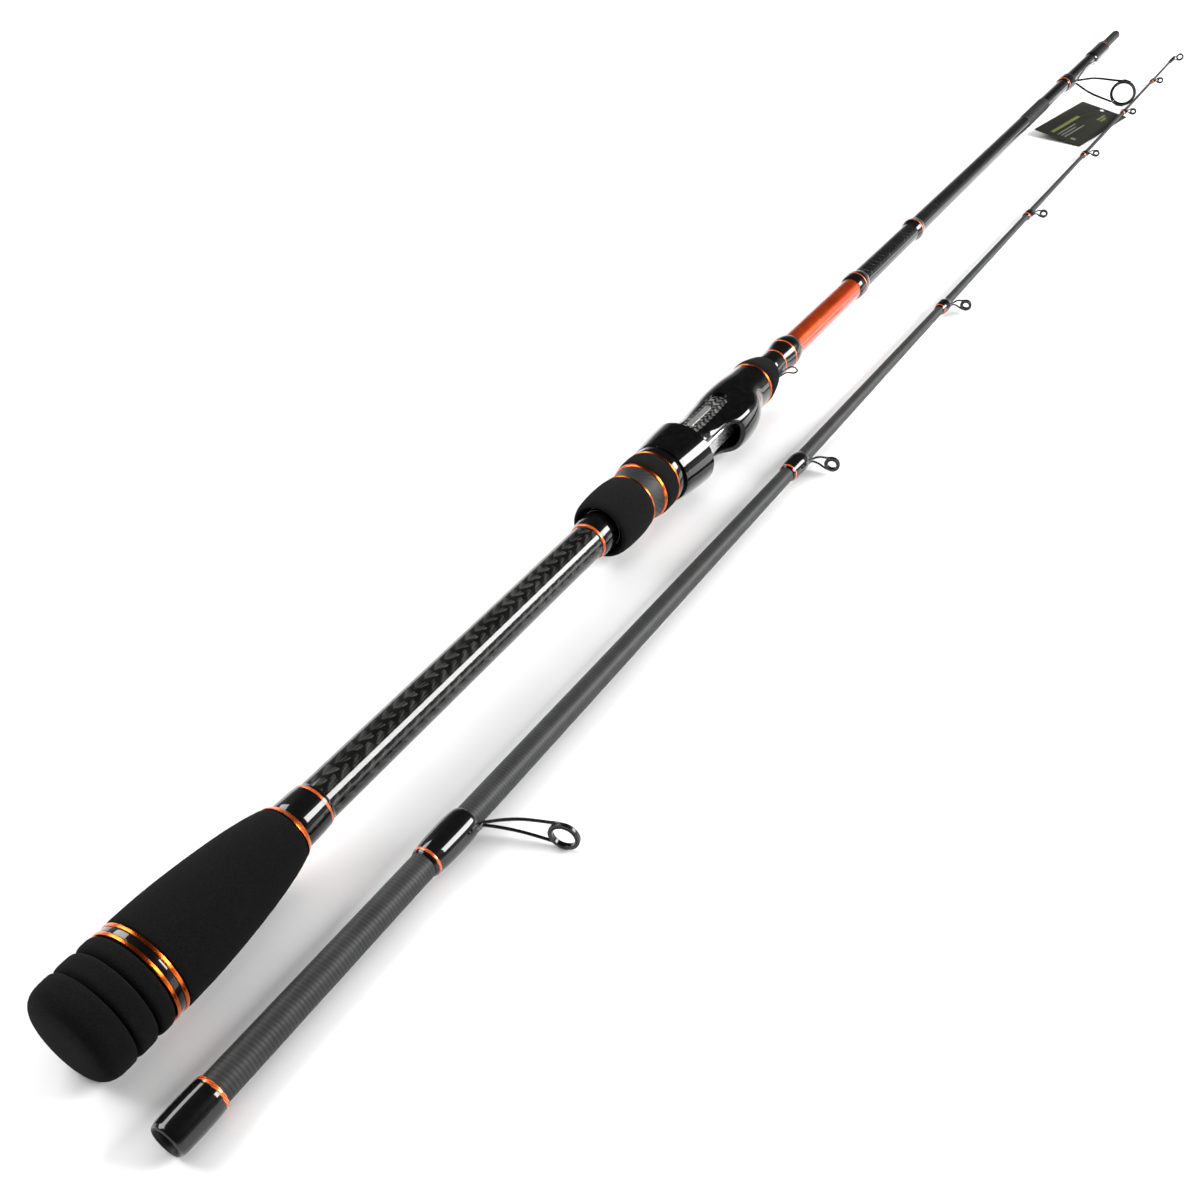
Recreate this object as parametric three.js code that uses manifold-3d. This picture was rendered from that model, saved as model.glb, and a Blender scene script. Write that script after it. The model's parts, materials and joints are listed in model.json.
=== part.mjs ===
// Two-piece spinning rod, taken down: the butt section and the tip section lie side by side.
// Millimetres, +Z up, +X from the butt cap towards the tips. Guides and reel foot point to -Y.
import * as THREE from 'three';
import { mergeVertices } from 'three/addons/utils/BufferGeometryUtils.js';
import Module from 'manifold-3d';

const wasm = await Module();
wasm.setup();

// ---------------------------------------------------------------- driving dimensions
const GAP = 0.3;                 // clearance between neighbouring pieces
const SIDES_THICK = 24;          // facets round grips and seat
const SIDES_THIN = 14;           // facets round blanks and windings
const SIDES_WIRE = 6;            // facets round wires

const AXIS_HEIGHT = 18.05;       // butt section axis above the surface
const GUIDE_ROLL = 5;            // degrees that guides and reel foot point below the horizontal

const HANDLE_TUBE_RADIUS = 8.2;
const HANDLE_TUBE_END = 449;
const THREAD_RADIUS = 10.2;      // crest of the thread barrel

const NUT_REAR = 297;            // rear face of the lock nut's flared grip
const NUT_FRONT = 352;           // front face of the lock nut
const NUT_BORE = 10.6;

const HOOD_REAR = 352.4;
const HOOD_FRONT = 373.5;
const SEAT_REAR = 359;
const SEAT_FRONT = 450.6;
const SEAT_BORE = HANDLE_TUBE_RADIUS + GAP;
const BED_LEVEL = 9.8;           // flat bed of the reel foot, from the rod axis
const FIXED_HOOD_LEVEL = 19;

const BLANK_END = 1200;
const SPIGOT_END = 1250;
const SPIGOT_START = 1130;

const STRIPPING = { foot: 1067, lead: 1081, ring: 1082.5, front: 1148, height: 46.5, radius: 10.3 };

const TIP_START = new THREE.Vector3(-2.4, -40, 7);
const TIP_END = new THREE.Vector3(1252.7, -55.8, 4);
const TIP_LENGTH = TIP_END.distanceTo(TIP_START);
const FERRULE_DEPTH = 75;
const FERRULE_BORE = 4.3;
const TIP_GUIDE_ROLL = 1;

// outline of the tip blank: [distance from the ferrule mouth, radius]
const TIP_TAPER = [[0, 5.55], [144, 5.0], [426, 3.6], [639, 2.5], [813, 1.95], [950, 1.45], [TIP_LENGTH, 0.85]];
// outline of the butt blank: [distance from the butt cap, radius]
const BUTT_TAPER = [[380, 6.9], [503, 6.9], [700, 6.0], [900, 5.4], [BLANK_END, 4.9]];

// tip guides: foot end, ring centre (both from the ferrule mouth), height and outer radius of the ring
const TIP_GUIDES = [
  { letter: 'a', wrap: 116, foot: 141, ring: 152, height: 33, radius: 6.0 },
  { letter: 'b', wrap: 403.5, foot: 422, ring: 424.5, height: 15, radius: 3.9 },
  { letter: 'c', wrap: 619, foot: 633, ring: 635.5, height: 11.2, radius: 3.4 },
  { letter: 'd', wrap: 793, foot: 805, ring: 807, height: 8.6, radius: 2.8 },
  { letter: 'e', wrap: 939, foot: 950, ring: 952, height: 7.2, radius: 2.6 },
  { letter: 'f', wrap: 1061, foot: 1071, ring: 1073, height: 6.5, radius: 2.6 },
  { letter: 'g', wrap: 1165, foot: 1174.5, ring: 1176.5, height: 5.6, radius: 2.6 },
];
const SEPARATE_INSERTS = ['a', 'b', 'c'];   // smaller guides have frame and insert in one

const TAG = { x: 1022, y: -29.5, length: 95, width: 40, thickness: 0.4, yaw: -9, tilt: 7 };

// ---------------------------------------------------------------- materials
const finish = (color, roughness, metalness) => new THREE.MeshStandardMaterial({ color, roughness, metalness });
const EVA = finish(0x1b1b1d, 0.95, 0);
const ORANGE = finish(0xf2561d, 0.28, 0.8);
const GLOSS = finish(0x0b0b0d, 0.08, 0);
const CARBON = finish(0x1f2122, 0.15, 0.1);
const TWILL = finish(0x55585a, 0.6, 0.1);
const MATTE_BLANK = finish(0x2c2e30, 0.55, 0.1);
const WIRE = finish(0x16161a, 0.25, 0.8);
const CERAMIC = finish(0x101013, 0.05, 0.1);
const CARD = finish(0x33332a, 0.7, 0);
const CLEAR = finish(0xd8dadb, 0.2, 0);

// ---------------------------------------------------------------- geometry helpers
// reverses the faces of a closed geometry whose enclosed volume comes out negative
function faceOutwards(geometry) {
  const solid = geometry.index ? geometry.toNonIndexed() : geometry;
  const p = solid.attributes.position;
  const [a, b, c] = [new THREE.Vector3(), new THREE.Vector3(), new THREE.Vector3()];
  let volume = 0;
  for (let i = 0; i < p.count; i += 3) {
    a.fromBufferAttribute(p, i);
    b.fromBufferAttribute(p, i + 1);
    c.fromBufferAttribute(p, i + 2);
    volume += a.dot(b.cross(c));
  }
  if (volume < 0) {
    for (let i = 0; i < p.count; i += 3) {
      a.fromBufferAttribute(p, i + 1);
      b.fromBufferAttribute(p, i + 2);
      p.setXYZ(i + 1, b.x, b.y, b.z);
      p.setXYZ(i + 2, a.x, a.y, a.z);
    }
  }
  return welded(solid);
}

function welded(geometry) {
  geometry.deleteAttribute('normal');
  geometry.deleteAttribute('uv');
  return mergeVertices(geometry, 1e-4);
}

// turns an outline of [x, radius] points round the X axis
function turned(outline, sides = SIDES_THICK) {
  const points = outline.map(([x, r]) => new THREE.Vector2(r, x));
  const geometry = new THREE.LatheGeometry(points, sides);
  geometry.rotateZ(-Math.PI / 2);
  return faceOutwards(geometry);
}

// a tube or collar: outer outline of [x, radius] points over a straight bore
function collar(outer, bore, sides = SIDES_THICK) {
  const first = outer[0];
  const last = outer[outer.length - 1];
  return turned([[first[0], bore], ...outer, [last[0], bore], [first[0], bore]], sides);
}

function toSolid(geometry) {
  const mesh = faceOutwards(geometry);
  return new wasm.Manifold(new wasm.Mesh({
    numProp: 3,
    vertProperties: new Float32Array(mesh.attributes.position.array),
    triVerts: new Uint32Array(mesh.index.array),
  }));
}

function fromSolid(solid) {
  const { vertProperties, triVerts } = solid.getMesh();
  const geometry = new THREE.BufferGeometry();
  geometry.setAttribute('position', new THREE.BufferAttribute(new Float32Array(vertProperties), 3));
  geometry.setIndex(new THREE.BufferAttribute(new Uint32Array(triVerts), 1));
  return geometry;
}

function joined(...geometries) {
  const solids = geometries.map(toSolid);
  return fromSolid(solids.reduce((sum, next) => sum.add(next)));
}

function cut(geometry, ...tools) {
  return fromSolid(tools.reduce((rest, tool) => rest.subtract(toSolid(tool)), toSolid(geometry)));
}

function common(first, second) {
  return fromSolid(toSolid(first).intersect(toSolid(second)));
}

function block(x0, x1, y0, y1, z0, z1) {
  const geometry = new THREE.BoxGeometry(x1 - x0, y1 - y0, z1 - z0);
  geometry.translate((x0 + x1) / 2, (y0 + y1) / 2, (z0 + z1) / 2);
  return geometry;
}

// a round wire through the given points
function wire(points, radius, steps, sides = SIDES_WIRE) {
  const section = new THREE.Shape();
  section.absarc(0, 0, radius, 0, Math.PI * 2);
  const path = new THREE.CatmullRomCurve3(points.map((p) => new THREE.Vector3(...p)));
  return new THREE.ExtrudeGeometry(section, { steps, curveSegments: sides / 2, extrudePath: path });
}

// closes a stack of equal point rings with fans at both ends
function loft(rings) {
  const count = rings[0].length;
  const points = rings.flat();
  const index = [];
  for (let i = 0; i + 1 < rings.length; i += 1) {
    for (let k = 0; k < count; k += 1) {
      const a = i * count + k;
      const b = i * count + ((k + 1) % count);
      index.push(a, b, a + count, b, b + count, a + count);
    }
  }
  for (const [start, flip] of [[0, true], [(rings.length - 1) * count, false]]) {
    const centre = new THREE.Vector3();
    for (let k = 0; k < count; k += 1) centre.add(points[start + k]);
    points.push(centre.divideScalar(count));
    for (let k = 0; k < count; k += 1) {
      const pair = [start + k, start + ((k + 1) % count)];
      index.push(...(flip ? pair.reverse() : pair), points.length - 1);
    }
  }
  const geometry = new THREE.BufferGeometry().setFromPoints(points);
  geometry.setIndex(index);
  return geometry;
}

// straight-line lookup in an outline of [x, value] points
function lookup(outline, x) {
  const next = outline.findIndex(([at]) => at >= x);
  if (next <= 0) return outline[next < 0 ? outline.length - 1 : 0][1];
  const [x0, v0] = outline[next - 1];
  const [x1, v1] = outline[next];
  return v0 + ((v1 - v0) * (x - x0)) / (x1 - x0);
}

function addPart(parent, name, geometry, material) {
  const mesh = new THREE.Mesh(geometry, material);
  mesh.name = name;
  parent.add(mesh);
  return mesh;
}

// ---------------------------------------------------------------- rear handle
function addRearHandle(parent) {
  const bore = HANDLE_TUBE_RADIUS + GAP;
  const cap = [[0, 0], [0, 12.6], [0.9, 15.2], [3, 17.2], [5.6, 17.9], [10.2, 18], [11.3, 17.5], [11.3, 0]];
  addPart(parent, 'butt_cap', turned(cap), EVA);
  const disc = (x0, x1) => collar([[x0, 17.3], [x0 + 0.8, 18], [x1 - 0.8, 18], [x1, 17.3]], bore);
  addPart(parent, 'butt_disc_rear', disc(11.9, 19.6), EVA);
  addPart(parent, 'butt_disc_front', disc(20.2, 26.4), EVA);
  const band = (x0, x1, radius) => collar([[x0, radius], [x1, radius]], bore);
  addPart(parent, 'butt_trim_ring_rear', band(26.7, 28.0, 17.7), ORANGE);
  addPart(parent, 'butt_trim_band', band(28.3, 30.0, 17.4), GLOSS);
  addPart(parent, 'butt_trim_ring_front', band(30.3, 31.6, 17.7), ORANGE);
  const grip = [[31.9, 17.4], [32.7, 17.9], [46, 17.7], [60, 16.6], [74, 15.0], [84, 13.3], [90, 11.9], [92.6, 10.9]];
  addPart(parent, 'rear_grip', collar(grip, bore), EVA);
  addPart(parent, 'rear_grip_ring', collar([[92.9, 11], [95.2, 9.9]], bore), ORANGE);
  const winding = [[95.5, 9.3], [98, 9.35], [104, 9.2], [106.4, 9.1]];
  addPart(parent, 'rear_winding', collar(winding, bore), GLOSS);
  addPart(parent, 'handle_ring_rear', collar([[106.7, 9.0], [107.9, 8.9]], bore), ORANGE);
  const wall = 1;
  const tube = collar([[12, HANDLE_TUBE_RADIUS], [HANDLE_TUBE_END, HANDLE_TUBE_RADIUS]], HANDLE_TUBE_RADIUS - wall);
  addPart(parent, 'handle_tube', tube, CARBON);
  addPart(parent, 'handle_ring_front', collar([[287.6, 8.9], [288.8, 9]], bore), ORANGE);
  addPart(parent, 'handle_front_winding', collar([[289.1, 9.2], [296, 9.5], [299.4, 9.3]], bore), GLOSS);
}

// ---------------------------------------------------------------- reel seat
// fixed male thread that the lock nut runs on, at the radius of its crests
function threadBarrel() {
  const start = 299.8;
  const end = SEAT_REAR - GAP;
  const root = THREAD_RADIUS - 0.8;
  const outer = [[start, root], [start + 1, THREAD_RADIUS], [end - 1, THREAD_RADIUS], [end, root]];
  return collar(outer, SEAT_BORE);
}

// radius of the seat before it is cut: a waisted body with a bulge over the fixed hood
const SEAT_WAIST = [[359, 12.0], [372, 12.4], [380, 12.3], [391, 11.5], [404, 12.2], [419, 13.5], [432, 13.5],
  [441, 12.9], [451, 12.4]];
const HOOD_RISE = [[378, 0], [384, 0.06], [390, 0.15], [396, 0.32], [400, 0.52], [404, 0.76], [408, 0.93], [413, 1],
  [422, 0.95], [430, 0.6], [436, 0.15], [440, 0]];
// the walls beside the foot bed sweep up into the hood's mouth: [distance along the rod, height above the axis]
const MOUTH_SWEEP = [[350, 9.8], [384, 9.8], [392, 10.1], [398, 11.0], [402, 12.6], [405, 15.0], [407.5, 17.8],
  [409, 20.5]];

function seatRadius(x, offset) {
  const body = lookup(SEAT_WAIST, x);
  const spread = THREE.MathUtils.clamp((Math.abs(offset) - 22) / 48, 0, 1);
  const lobe = Math.cos((spread * Math.PI) / 2) ** 2;
  return body + (FIXED_HOOD_LEVEL - body) * lobe * lookup(HOOD_RISE, x);
}

function seatBlank() {
  const stations = [359, 365, 372, 378, 384, 388, 392, 396, 400, 404, 408, 413, 418, 422, 427, 432, 436, 441, 446,
    SEAT_FRONT];
  const sides = 32;
  const rings = stations.map((x) => Array.from({ length: sides }, (_, k) => {
    const angle = (k / sides) * 360;                 // measured from the reel foot direction
    const offset = angle > 180 ? angle - 360 : angle;
    const radius = seatRadius(x, offset);
    const turn = THREE.MathUtils.degToRad(angle);
    return new THREE.Vector3(x, -radius * Math.cos(turn), radius * Math.sin(turn));
  }));
  return loft(rings);
}

// arch-shaped prism along X: the space that a reel foot slides into
function footSpace(x0, x1, low, high, halfWidth) {
  const arch = new THREE.Shape();
  const shoulder = high - halfWidth * 0.45;
  arch.moveTo(-halfWidth, low);
  arch.lineTo(halfWidth, low);
  arch.lineTo(halfWidth, shoulder);
  arch.quadraticCurveTo(halfWidth * 0.8, high, 0, high);
  arch.quadraticCurveTo(-halfWidth * 0.8, high, -halfWidth, shoulder);
  arch.closePath();
  const geometry = new THREE.ExtrudeGeometry(arch, { depth: x1 - x0, bevelEnabled: false, curveSegments: 5 });
  // shape x -> +Z, shape y -> -Y, extrusion -> +X
  geometry.applyMatrix4(new THREE.Matrix4().set(0, 0, 1, x0, 0, -1, 0, 0, 1, 0, 0, 0, 0, 0, 0, 1));
  return geometry;
}

// stadium-shaped prism standing on the XY plane, for the window on either side of the seat
function windowPrism(x0, x1, halfWidth, z0, z1) {
  const outline = new THREE.Shape();
  outline.absarc(x1 - halfWidth, 0, halfWidth, -Math.PI / 2, Math.PI / 2);
  outline.absarc(x0 + halfWidth, 0, halfWidth, Math.PI / 2, Math.PI * 1.5);
  const geometry = new THREE.ExtrudeGeometry(outline, { depth: z1 - z0, bevelEnabled: false, curveSegments: 6 });
  geometry.translate(0, 0, z0);
  return geometry;
}

// everything above the curve that the seat's side walls follow
function aboveMouthSweep() {
  const outline = new THREE.Shape(MOUTH_SWEEP.map(([x, out]) => new THREE.Vector2(x, -out)));
  outline.lineTo(409, -40);
  outline.lineTo(350, -40);
  const geometry = new THREE.ExtrudeGeometry(outline, { depth: 60, bevelEnabled: false });
  geometry.translate(0, 0, -30);
  return geometry;
}

const WINDOW = { x0: 379, x1: 416, halfWidth: 4.6, floor: 9.3, surface: 10.9 };

function addReelSeat(parent) {
  addPart(parent, 'thread_barrel', threadBarrel(), GLOSS);
  const bore = turned([[350, 0], [350, SEAT_BORE], [460, SEAT_BORE], [460, 0]]);
  const halfWidth = 7;
  const bed = block(350, 396, -30, -BED_LEVEL, -halfWidth, halfWidth);
  const cavity = footSpace(395, 427, BED_LEVEL, 16.6, halfWidth);
  const { x0, x1, floor, surface } = WINDOW;
  const recesses = [1, -1].map((side) => {
    const prism = windowPrism(x0, x1, WINDOW.halfWidth, floor, 20);
    return side > 0 ? prism : prism.rotateX(Math.PI);
  });
  addPart(parent, 'reel_seat_body', cut(seatBlank(), bore, bed, aboveMouthSweep(), cavity, ...recesses), GLOSS);
  const skin = turned([[x0, 0], [x0, surface], [x1, surface], [x1, 0]]);
  for (const [name, turn] of [['seat_window_upper', 0], ['seat_window_lower', Math.PI]]) {
    const prism = windowPrism(x0 + GAP, x1 - GAP, WINDOW.halfWidth - GAP, floor + GAP, 20).rotateX(turn);
    addPart(parent, name, common(skin, prism), CARBON);
  }
}

function addSlidingHood(parent) {
  const sides = SIDES_THICK;
  const rise = [[HOOD_REAR, 14.6], [356, 15.2], [361, 15.8], [366, 16.1], [370, 16.3], [HOOD_FRONT, 16.4]];
  const shell = loft(rise.map(([x, r]) => Array.from({ length: sides }, (_, k) => {
    const turn = (k / sides) * Math.PI * 2;
    const along = (x - HOOD_REAR) / (HOOD_FRONT - HOOD_REAR);
    const bump = (1 + 1.2 * along) * Math.max(0, Math.cos(turn)) ** 1.5;
    return new THREE.Vector3(x, -(r + bump) * Math.cos(turn), (r + bump) * Math.sin(turn));
  })));
  const neck = turned([[350, 0], [350, NUT_BORE], [360, NUT_BORE], [360, 0]]);
  const room = turned([[354.4, 0], [354.4, 13.2], [HOOD_FRONT + 1, 13.9], [HOOD_FRONT + 1, 0]]);
  const slot = footSpace(356, HOOD_FRONT + 1, BED_LEVEL - 1, 15.4, 7);
  addPart(parent, 'sliding_hood', cut(shell, neck, room, slot), GLOSS);
}

function addLockNut(parent) {
  const flared = [[NUT_REAR, 12.2], [298.4, 13.4], [302, 14.2], [310, 14.8], [317, 14.7], [321, 14.2], [323, 13.8]];
  const recess = turned([[NUT_REAR - 1, 0], [NUT_REAR - 1, 11.6], [301.5, 11.6], [303, NUT_BORE], [303, 0]]);
  addPart(parent, 'nut_grip_rear', cut(collar(flared, NUT_BORE), recess), EVA);
  addPart(parent, 'nut_ring_rear', collar([[323.3, 13.9], [324.4, 13.8]], NUT_BORE), ORANGE);
  const sleeve = [[324.7, 13.5], [328, 13.3], [331, 13.4], [333.2, 13.7]];
  addPart(parent, 'nut_sleeve', collar(sleeve, NUT_BORE), TWILL);
  addPart(parent, 'nut_ring_middle', collar([[333.5, 13.9], [335.2, 14.3]], NUT_BORE), ORANGE);
  const front = [[335.5, 14.2], [338, 14.8], [343, 14.9], [345.6, 14.5]];
  addPart(parent, 'nut_grip_front', collar(front, NUT_BORE), EVA);
  addPart(parent, 'nut_ring_front', collar([[345.9, 14.6], [346.9, 14.6]], NUT_BORE), ORANGE);
  const core = [[347.2, 14.3], [348, 14.5], [351, 14.5], [NUT_FRONT, 14.2]];
  addPart(parent, 'nut_core', collar(core, NUT_BORE), GLOSS);
}

// ---------------------------------------------------------------- front of the butt section
function addForeGrip(parent) {
  const bore = 6.9 + GAP;
  addPart(parent, 'front_grip_ring', collar([[450.9, 12.7], [452.4, 12.6]], SEAT_BORE), ORANGE);
  const cone = [[452.7, 12.6], [455, 12.7], [462, 11.3], [467, 9.9], [470, 8.4], [470.6, 7.7]];
  addPart(parent, 'front_grip', collar(cone, bore), EVA);
  const winding = [[470.9, 7.6], [481, 7.5], [486, 7.7], [491, 8.6], [496, 8.9], [500, 8.4], [503.5, 7.5]];
  addPart(parent, 'front_winding', collar(winding, bore), GLOSS);
  addPart(parent, 'hook_keeper', hookKeeper(), WIRE);
}

// small wire loop in front of the grip, standing off the winding on the guide side
function hookKeeper() {
  const half = [[472, -8.4, 0.7], [476, -8.6, 1.0], [479, -9.2, 1.3], [480.8, -10.4, 1.8], [481.6, -12.1, 1.7],
    [482, -13.4, 0.8]];
  const mirrored = half.map(([x, y, z]) => [x, y, -z]).reverse();
  return wire([...half, [482.1, -13.7, 0], ...mirrored], 0.45, 20);
}

function buttBlank() {
  const wall = 1;
  const inner = BUTT_TAPER.map(([x, r]) => [x, r - wall]).slice(0, -1);
  const socket = [[SPIGOT_START - 6, 4.0], [SPIGOT_START - 5, 4.0 + GAP], [BLANK_END, 4.0 + GAP]];
  const bore = [...inner, ...socket].reverse();
  return turned([...BUTT_TAPER, ...bore, BUTT_TAPER[0]], SIDES_THIN);
}

function addButtBlank(parent) {
  addPart(parent, 'butt_blank', buttBlank(), CARBON);
  const winding = (x0, x1, bulge) => {
    const bore = lookup(BUTT_TAPER, x0) + GAP;
    const ease = (x1 - x0) / 4;
    const outer = [[x0, bore + 0.3], [x0 + ease, bore + bulge], [x1 - ease, bore + bulge], [x1, bore + 0.3]];
    return collar(outer, bore, SIDES_THIN);
  };
  addPart(parent, 'orange_end_winding', winding(589, 603, 1.2), GLOSS);
  addPart(parent, 'blank_joint_winding', winding(690, 702, 1.2), GLOSS);
  const spigot = [[SPIGOT_START, 0], [SPIGOT_START, 4.0], [BLANK_END, 4.0], [SPIGOT_END - 1, 3.85], [SPIGOT_END, 3.4],
    [SPIGOT_END, 0]];
  addPart(parent, 'spigot', turned(spigot, SIDES_THIN), MATTE_BLANK);
}

// ---------------------------------------------------------------- guides
// flat ring standing across the rod at [x, height], leaning forwards
function guideHoop(x, height, inner, outer, width, lean, sides = 16) {
  const half = width / 2;
  const hoop = turned([[-half, inner], [-half, outer], [half, outer], [half, inner], [-half, inner]], sides);
  hoop.rotateZ(THREE.MathUtils.degToRad(lean));
  hoop.translate(x, -height, 0);
  return hoop;
}

// foot strip under the wrap and two wire legs up to the sides of the hoop
function singleFootFrame(guide, blankRadius, withInsert) {
  const { wrap, foot, ring, height, radius } = guide;
  const lean = 12;
  const hoopInner = withInsert ? radius - 1.1 : radius - 0.8;
  const wireRadius = radius > 4 ? 0.65 : 0.5;
  const seat = blankRadius + GAP;
  const rear = block(wrap + 4, foot, -seat - 0.8, -seat, -0.9, 0.9);
  const hoop = guideHoop(ring, height, hoopInner, radius, 1.6, lean);
  const side = radius - 0.4;
  const legs = [1, -1].map((s) => wire([[foot - 3, -seat - 0.5, s * 0.45],
    [foot + 1, -seat - 1.2, s * 0.9],
    [(foot + ring) / 2 + 1, -(seat + height - radius) / 2 - 0.5, s * (side * 0.55)],
    [ring - 0.3, -(height - radius * 0.35), s * side * 0.92],
    [ring, -height, s * side]], wireRadius, radius > 4 ? 9 : 6));
  return joined(hoop, rear, ...legs);
}

// epoxied thread winding over the blank, thicker on the side where it covers the guide foot
function footWrap(x0, x1, blankRadius, thickness, offset, footClearance) {
  const bore = blankRadius + GAP;
  const thin = bore + offset + 0.25;
  const full = bore + thickness;
  const outer = turned([[x0, 0], [x0, thin], [x0 + 3, full], [x1 - 2, full], [x1, full - 0.5], [x1, 0]], SIDES_THIN);
  outer.translate(0, -offset, 0);
  return cut(outer, turned([[x0 - 1, 0], [x0 - 1, bore], [x1 + 1, bore], [x1 + 1, 0]], SIDES_THIN), footClearance);
}

function addTipGuide(parent, guide) {
  const blankRadius = lookup(TIP_TAPER, guide.wrap);
  const withInsert = !SEPARATE_INSERTS.includes(guide.letter);
  const frame = singleFootFrame(guide, blankRadius, withInsert);
  addPart(parent, `guide_${guide.letter}_frame`, frame, WIRE);
  if (!withInsert) {
    const insert = guideHoop(guide.ring, guide.height, guide.radius - 1.9, guide.radius - 0.8 - GAP, 2, 12);
    addPart(parent, `guide_${guide.letter}_insert`, insert, CERAMIC);
  }
  const seat = blankRadius + GAP;
  const clearance = block(guide.wrap + 4 - GAP, guide.foot + 5, -seat - 0.8 - GAP - 0.35, -seat + GAP, -1.6, 1.6);
  const wrap = footWrap(guide.wrap, guide.foot - 2, blankRadius, 1.25, 0.6, clearance);
  addPart(parent, `guide_${guide.letter}_wrap`, wrap, GLOSS);
}

function addStrippingGuide(parent) {
  const { foot, lead, ring, front, height, radius } = STRIPPING;
  const blankRadius = lookup(BUTT_TAPER, foot);
  const seat = blankRadius + GAP;
  const lean = 8;
  const hoop = guideHoop(ring, height, radius - 1, radius, 2.2, lean, 24);
  const rearFoot = block(foot, lead, -seat - 1, -seat, -1.2, 1.2);
  const frontFoot = block(front + 2, front + 22, -seat - 1, -seat, -1.2, 1.2);
  const side = radius;
  const legs = [1, -1].map((s) => wire([[lead - 5, -seat - 0.6, s * 0.6],
    [lead, -seat - 2.2, s * 1.4],
    [lead + 1, -(seat + height - radius) * 0.5, s * side * 0.62],
    [ring - 0.4, -(height - radius * 0.5), s * side * 0.9],
    [ring, -height, s * side]], 0.8, 10));
  const brace = wire([[front + 10, -seat - 0.5, 0],
    [front, -seat - 0.9, 0.3],
    [front - 14, -seat - 1.1, 3.2],
    [front - 36, -seat - 0.6, 4.6],
    [lead + 12, -seat - 1.2, 3.2],
    [lead, -seat - 1.8, 1.4]], 0.8, 12);
  addPart(parent, 'stripping_guide_frame', joined(hoop, rearFoot, frontFoot, ...legs, brace), WIRE);
  const insert = guideHoop(ring, height, radius - 2.6, radius - 1 - GAP, 2.8, lean, 24);
  addPart(parent, 'stripping_guide_insert', insert, CERAMIC);
  const room = (x0, x1) => block(x0, x1, -seat - 1 - GAP - 0.5, -seat + GAP, -1.9, 1.9);
  const rear = footWrap(foot - 6, lead - 3, lookup(BUTT_TAPER, foot - 6), 1.6, 0.7, room(foot - GAP, lead + 6));
  addPart(parent, 'stripping_wrap_rear', rear, GLOSS);
  const frontRoom = room(front - 6, front + 22 + GAP);
  const frontWrap = footWrap(front + 4, BLANK_END - 1, lookup(BUTT_TAPER, front), 1.6, 0.7, frontRoom);
  addPart(parent, 'stripping_wrap_front', frontWrap, GLOSS);
}

// ---------------------------------------------------------------- tip section
function tipBlank() {
  const bore = [[500, 0], [500, 1.6], [80, 3.4], [FERRULE_DEPTH, FERRULE_BORE], [1.5, FERRULE_BORE], [0, 4.9]];
  return turned([...bore, ...TIP_TAPER, [TIP_LENGTH, 0]], SIDES_THIN);
}

function addTipTop(parent) {
  const end = TIP_LENGTH;
  const tubeBore = lookup(TIP_TAPER, end - 14) + GAP;
  const tube = collar([[end - 14, tubeBore + 0.6], [end + 2, tubeBore + 0.6]], tubeBore, 12);
  const ring = { x: end + 8, height: 4.2, radius: 3.3 };
  const hoop = guideHoop(ring.x, ring.height, ring.radius - 0.7, ring.radius, 1.5, 20);
  const legs = [1, -1].map((s) => wire([[end - 6, -(tubeBore + 0.2), s * 0.9],
    [end + 2, -(tubeBore + 0.5), s * 1.5],
    [ring.x, -ring.height, s * (ring.radius - 0.3)]], 0.45, 8));
  addPart(parent, 'tip_top_frame', joined(tube, hoop, ...legs), WIRE);
  const insert = guideHoop(ring.x, ring.height, ring.radius - 1.8, ring.radius - 0.7 - GAP, 1.9, 20);
  addPart(parent, 'tip_top_insert', insert, CERAMIC);
}

function addTipSection(parent) {
  addPart(parent, 'tip_blank', tipBlank(), MATTE_BLANK);
  const winding = [[0.4, 6.1], [3, 6.5], [10, 6.6], [15, 6.4], [18.5, 6.1]];
  addPart(parent, 'ferrule_winding', collar(winding, 5.55 + GAP, SIDES_THICK), GLOSS);
  for (const guide of TIP_GUIDES) addTipGuide(parent, guide);
  addTipTop(parent);
}

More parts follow.
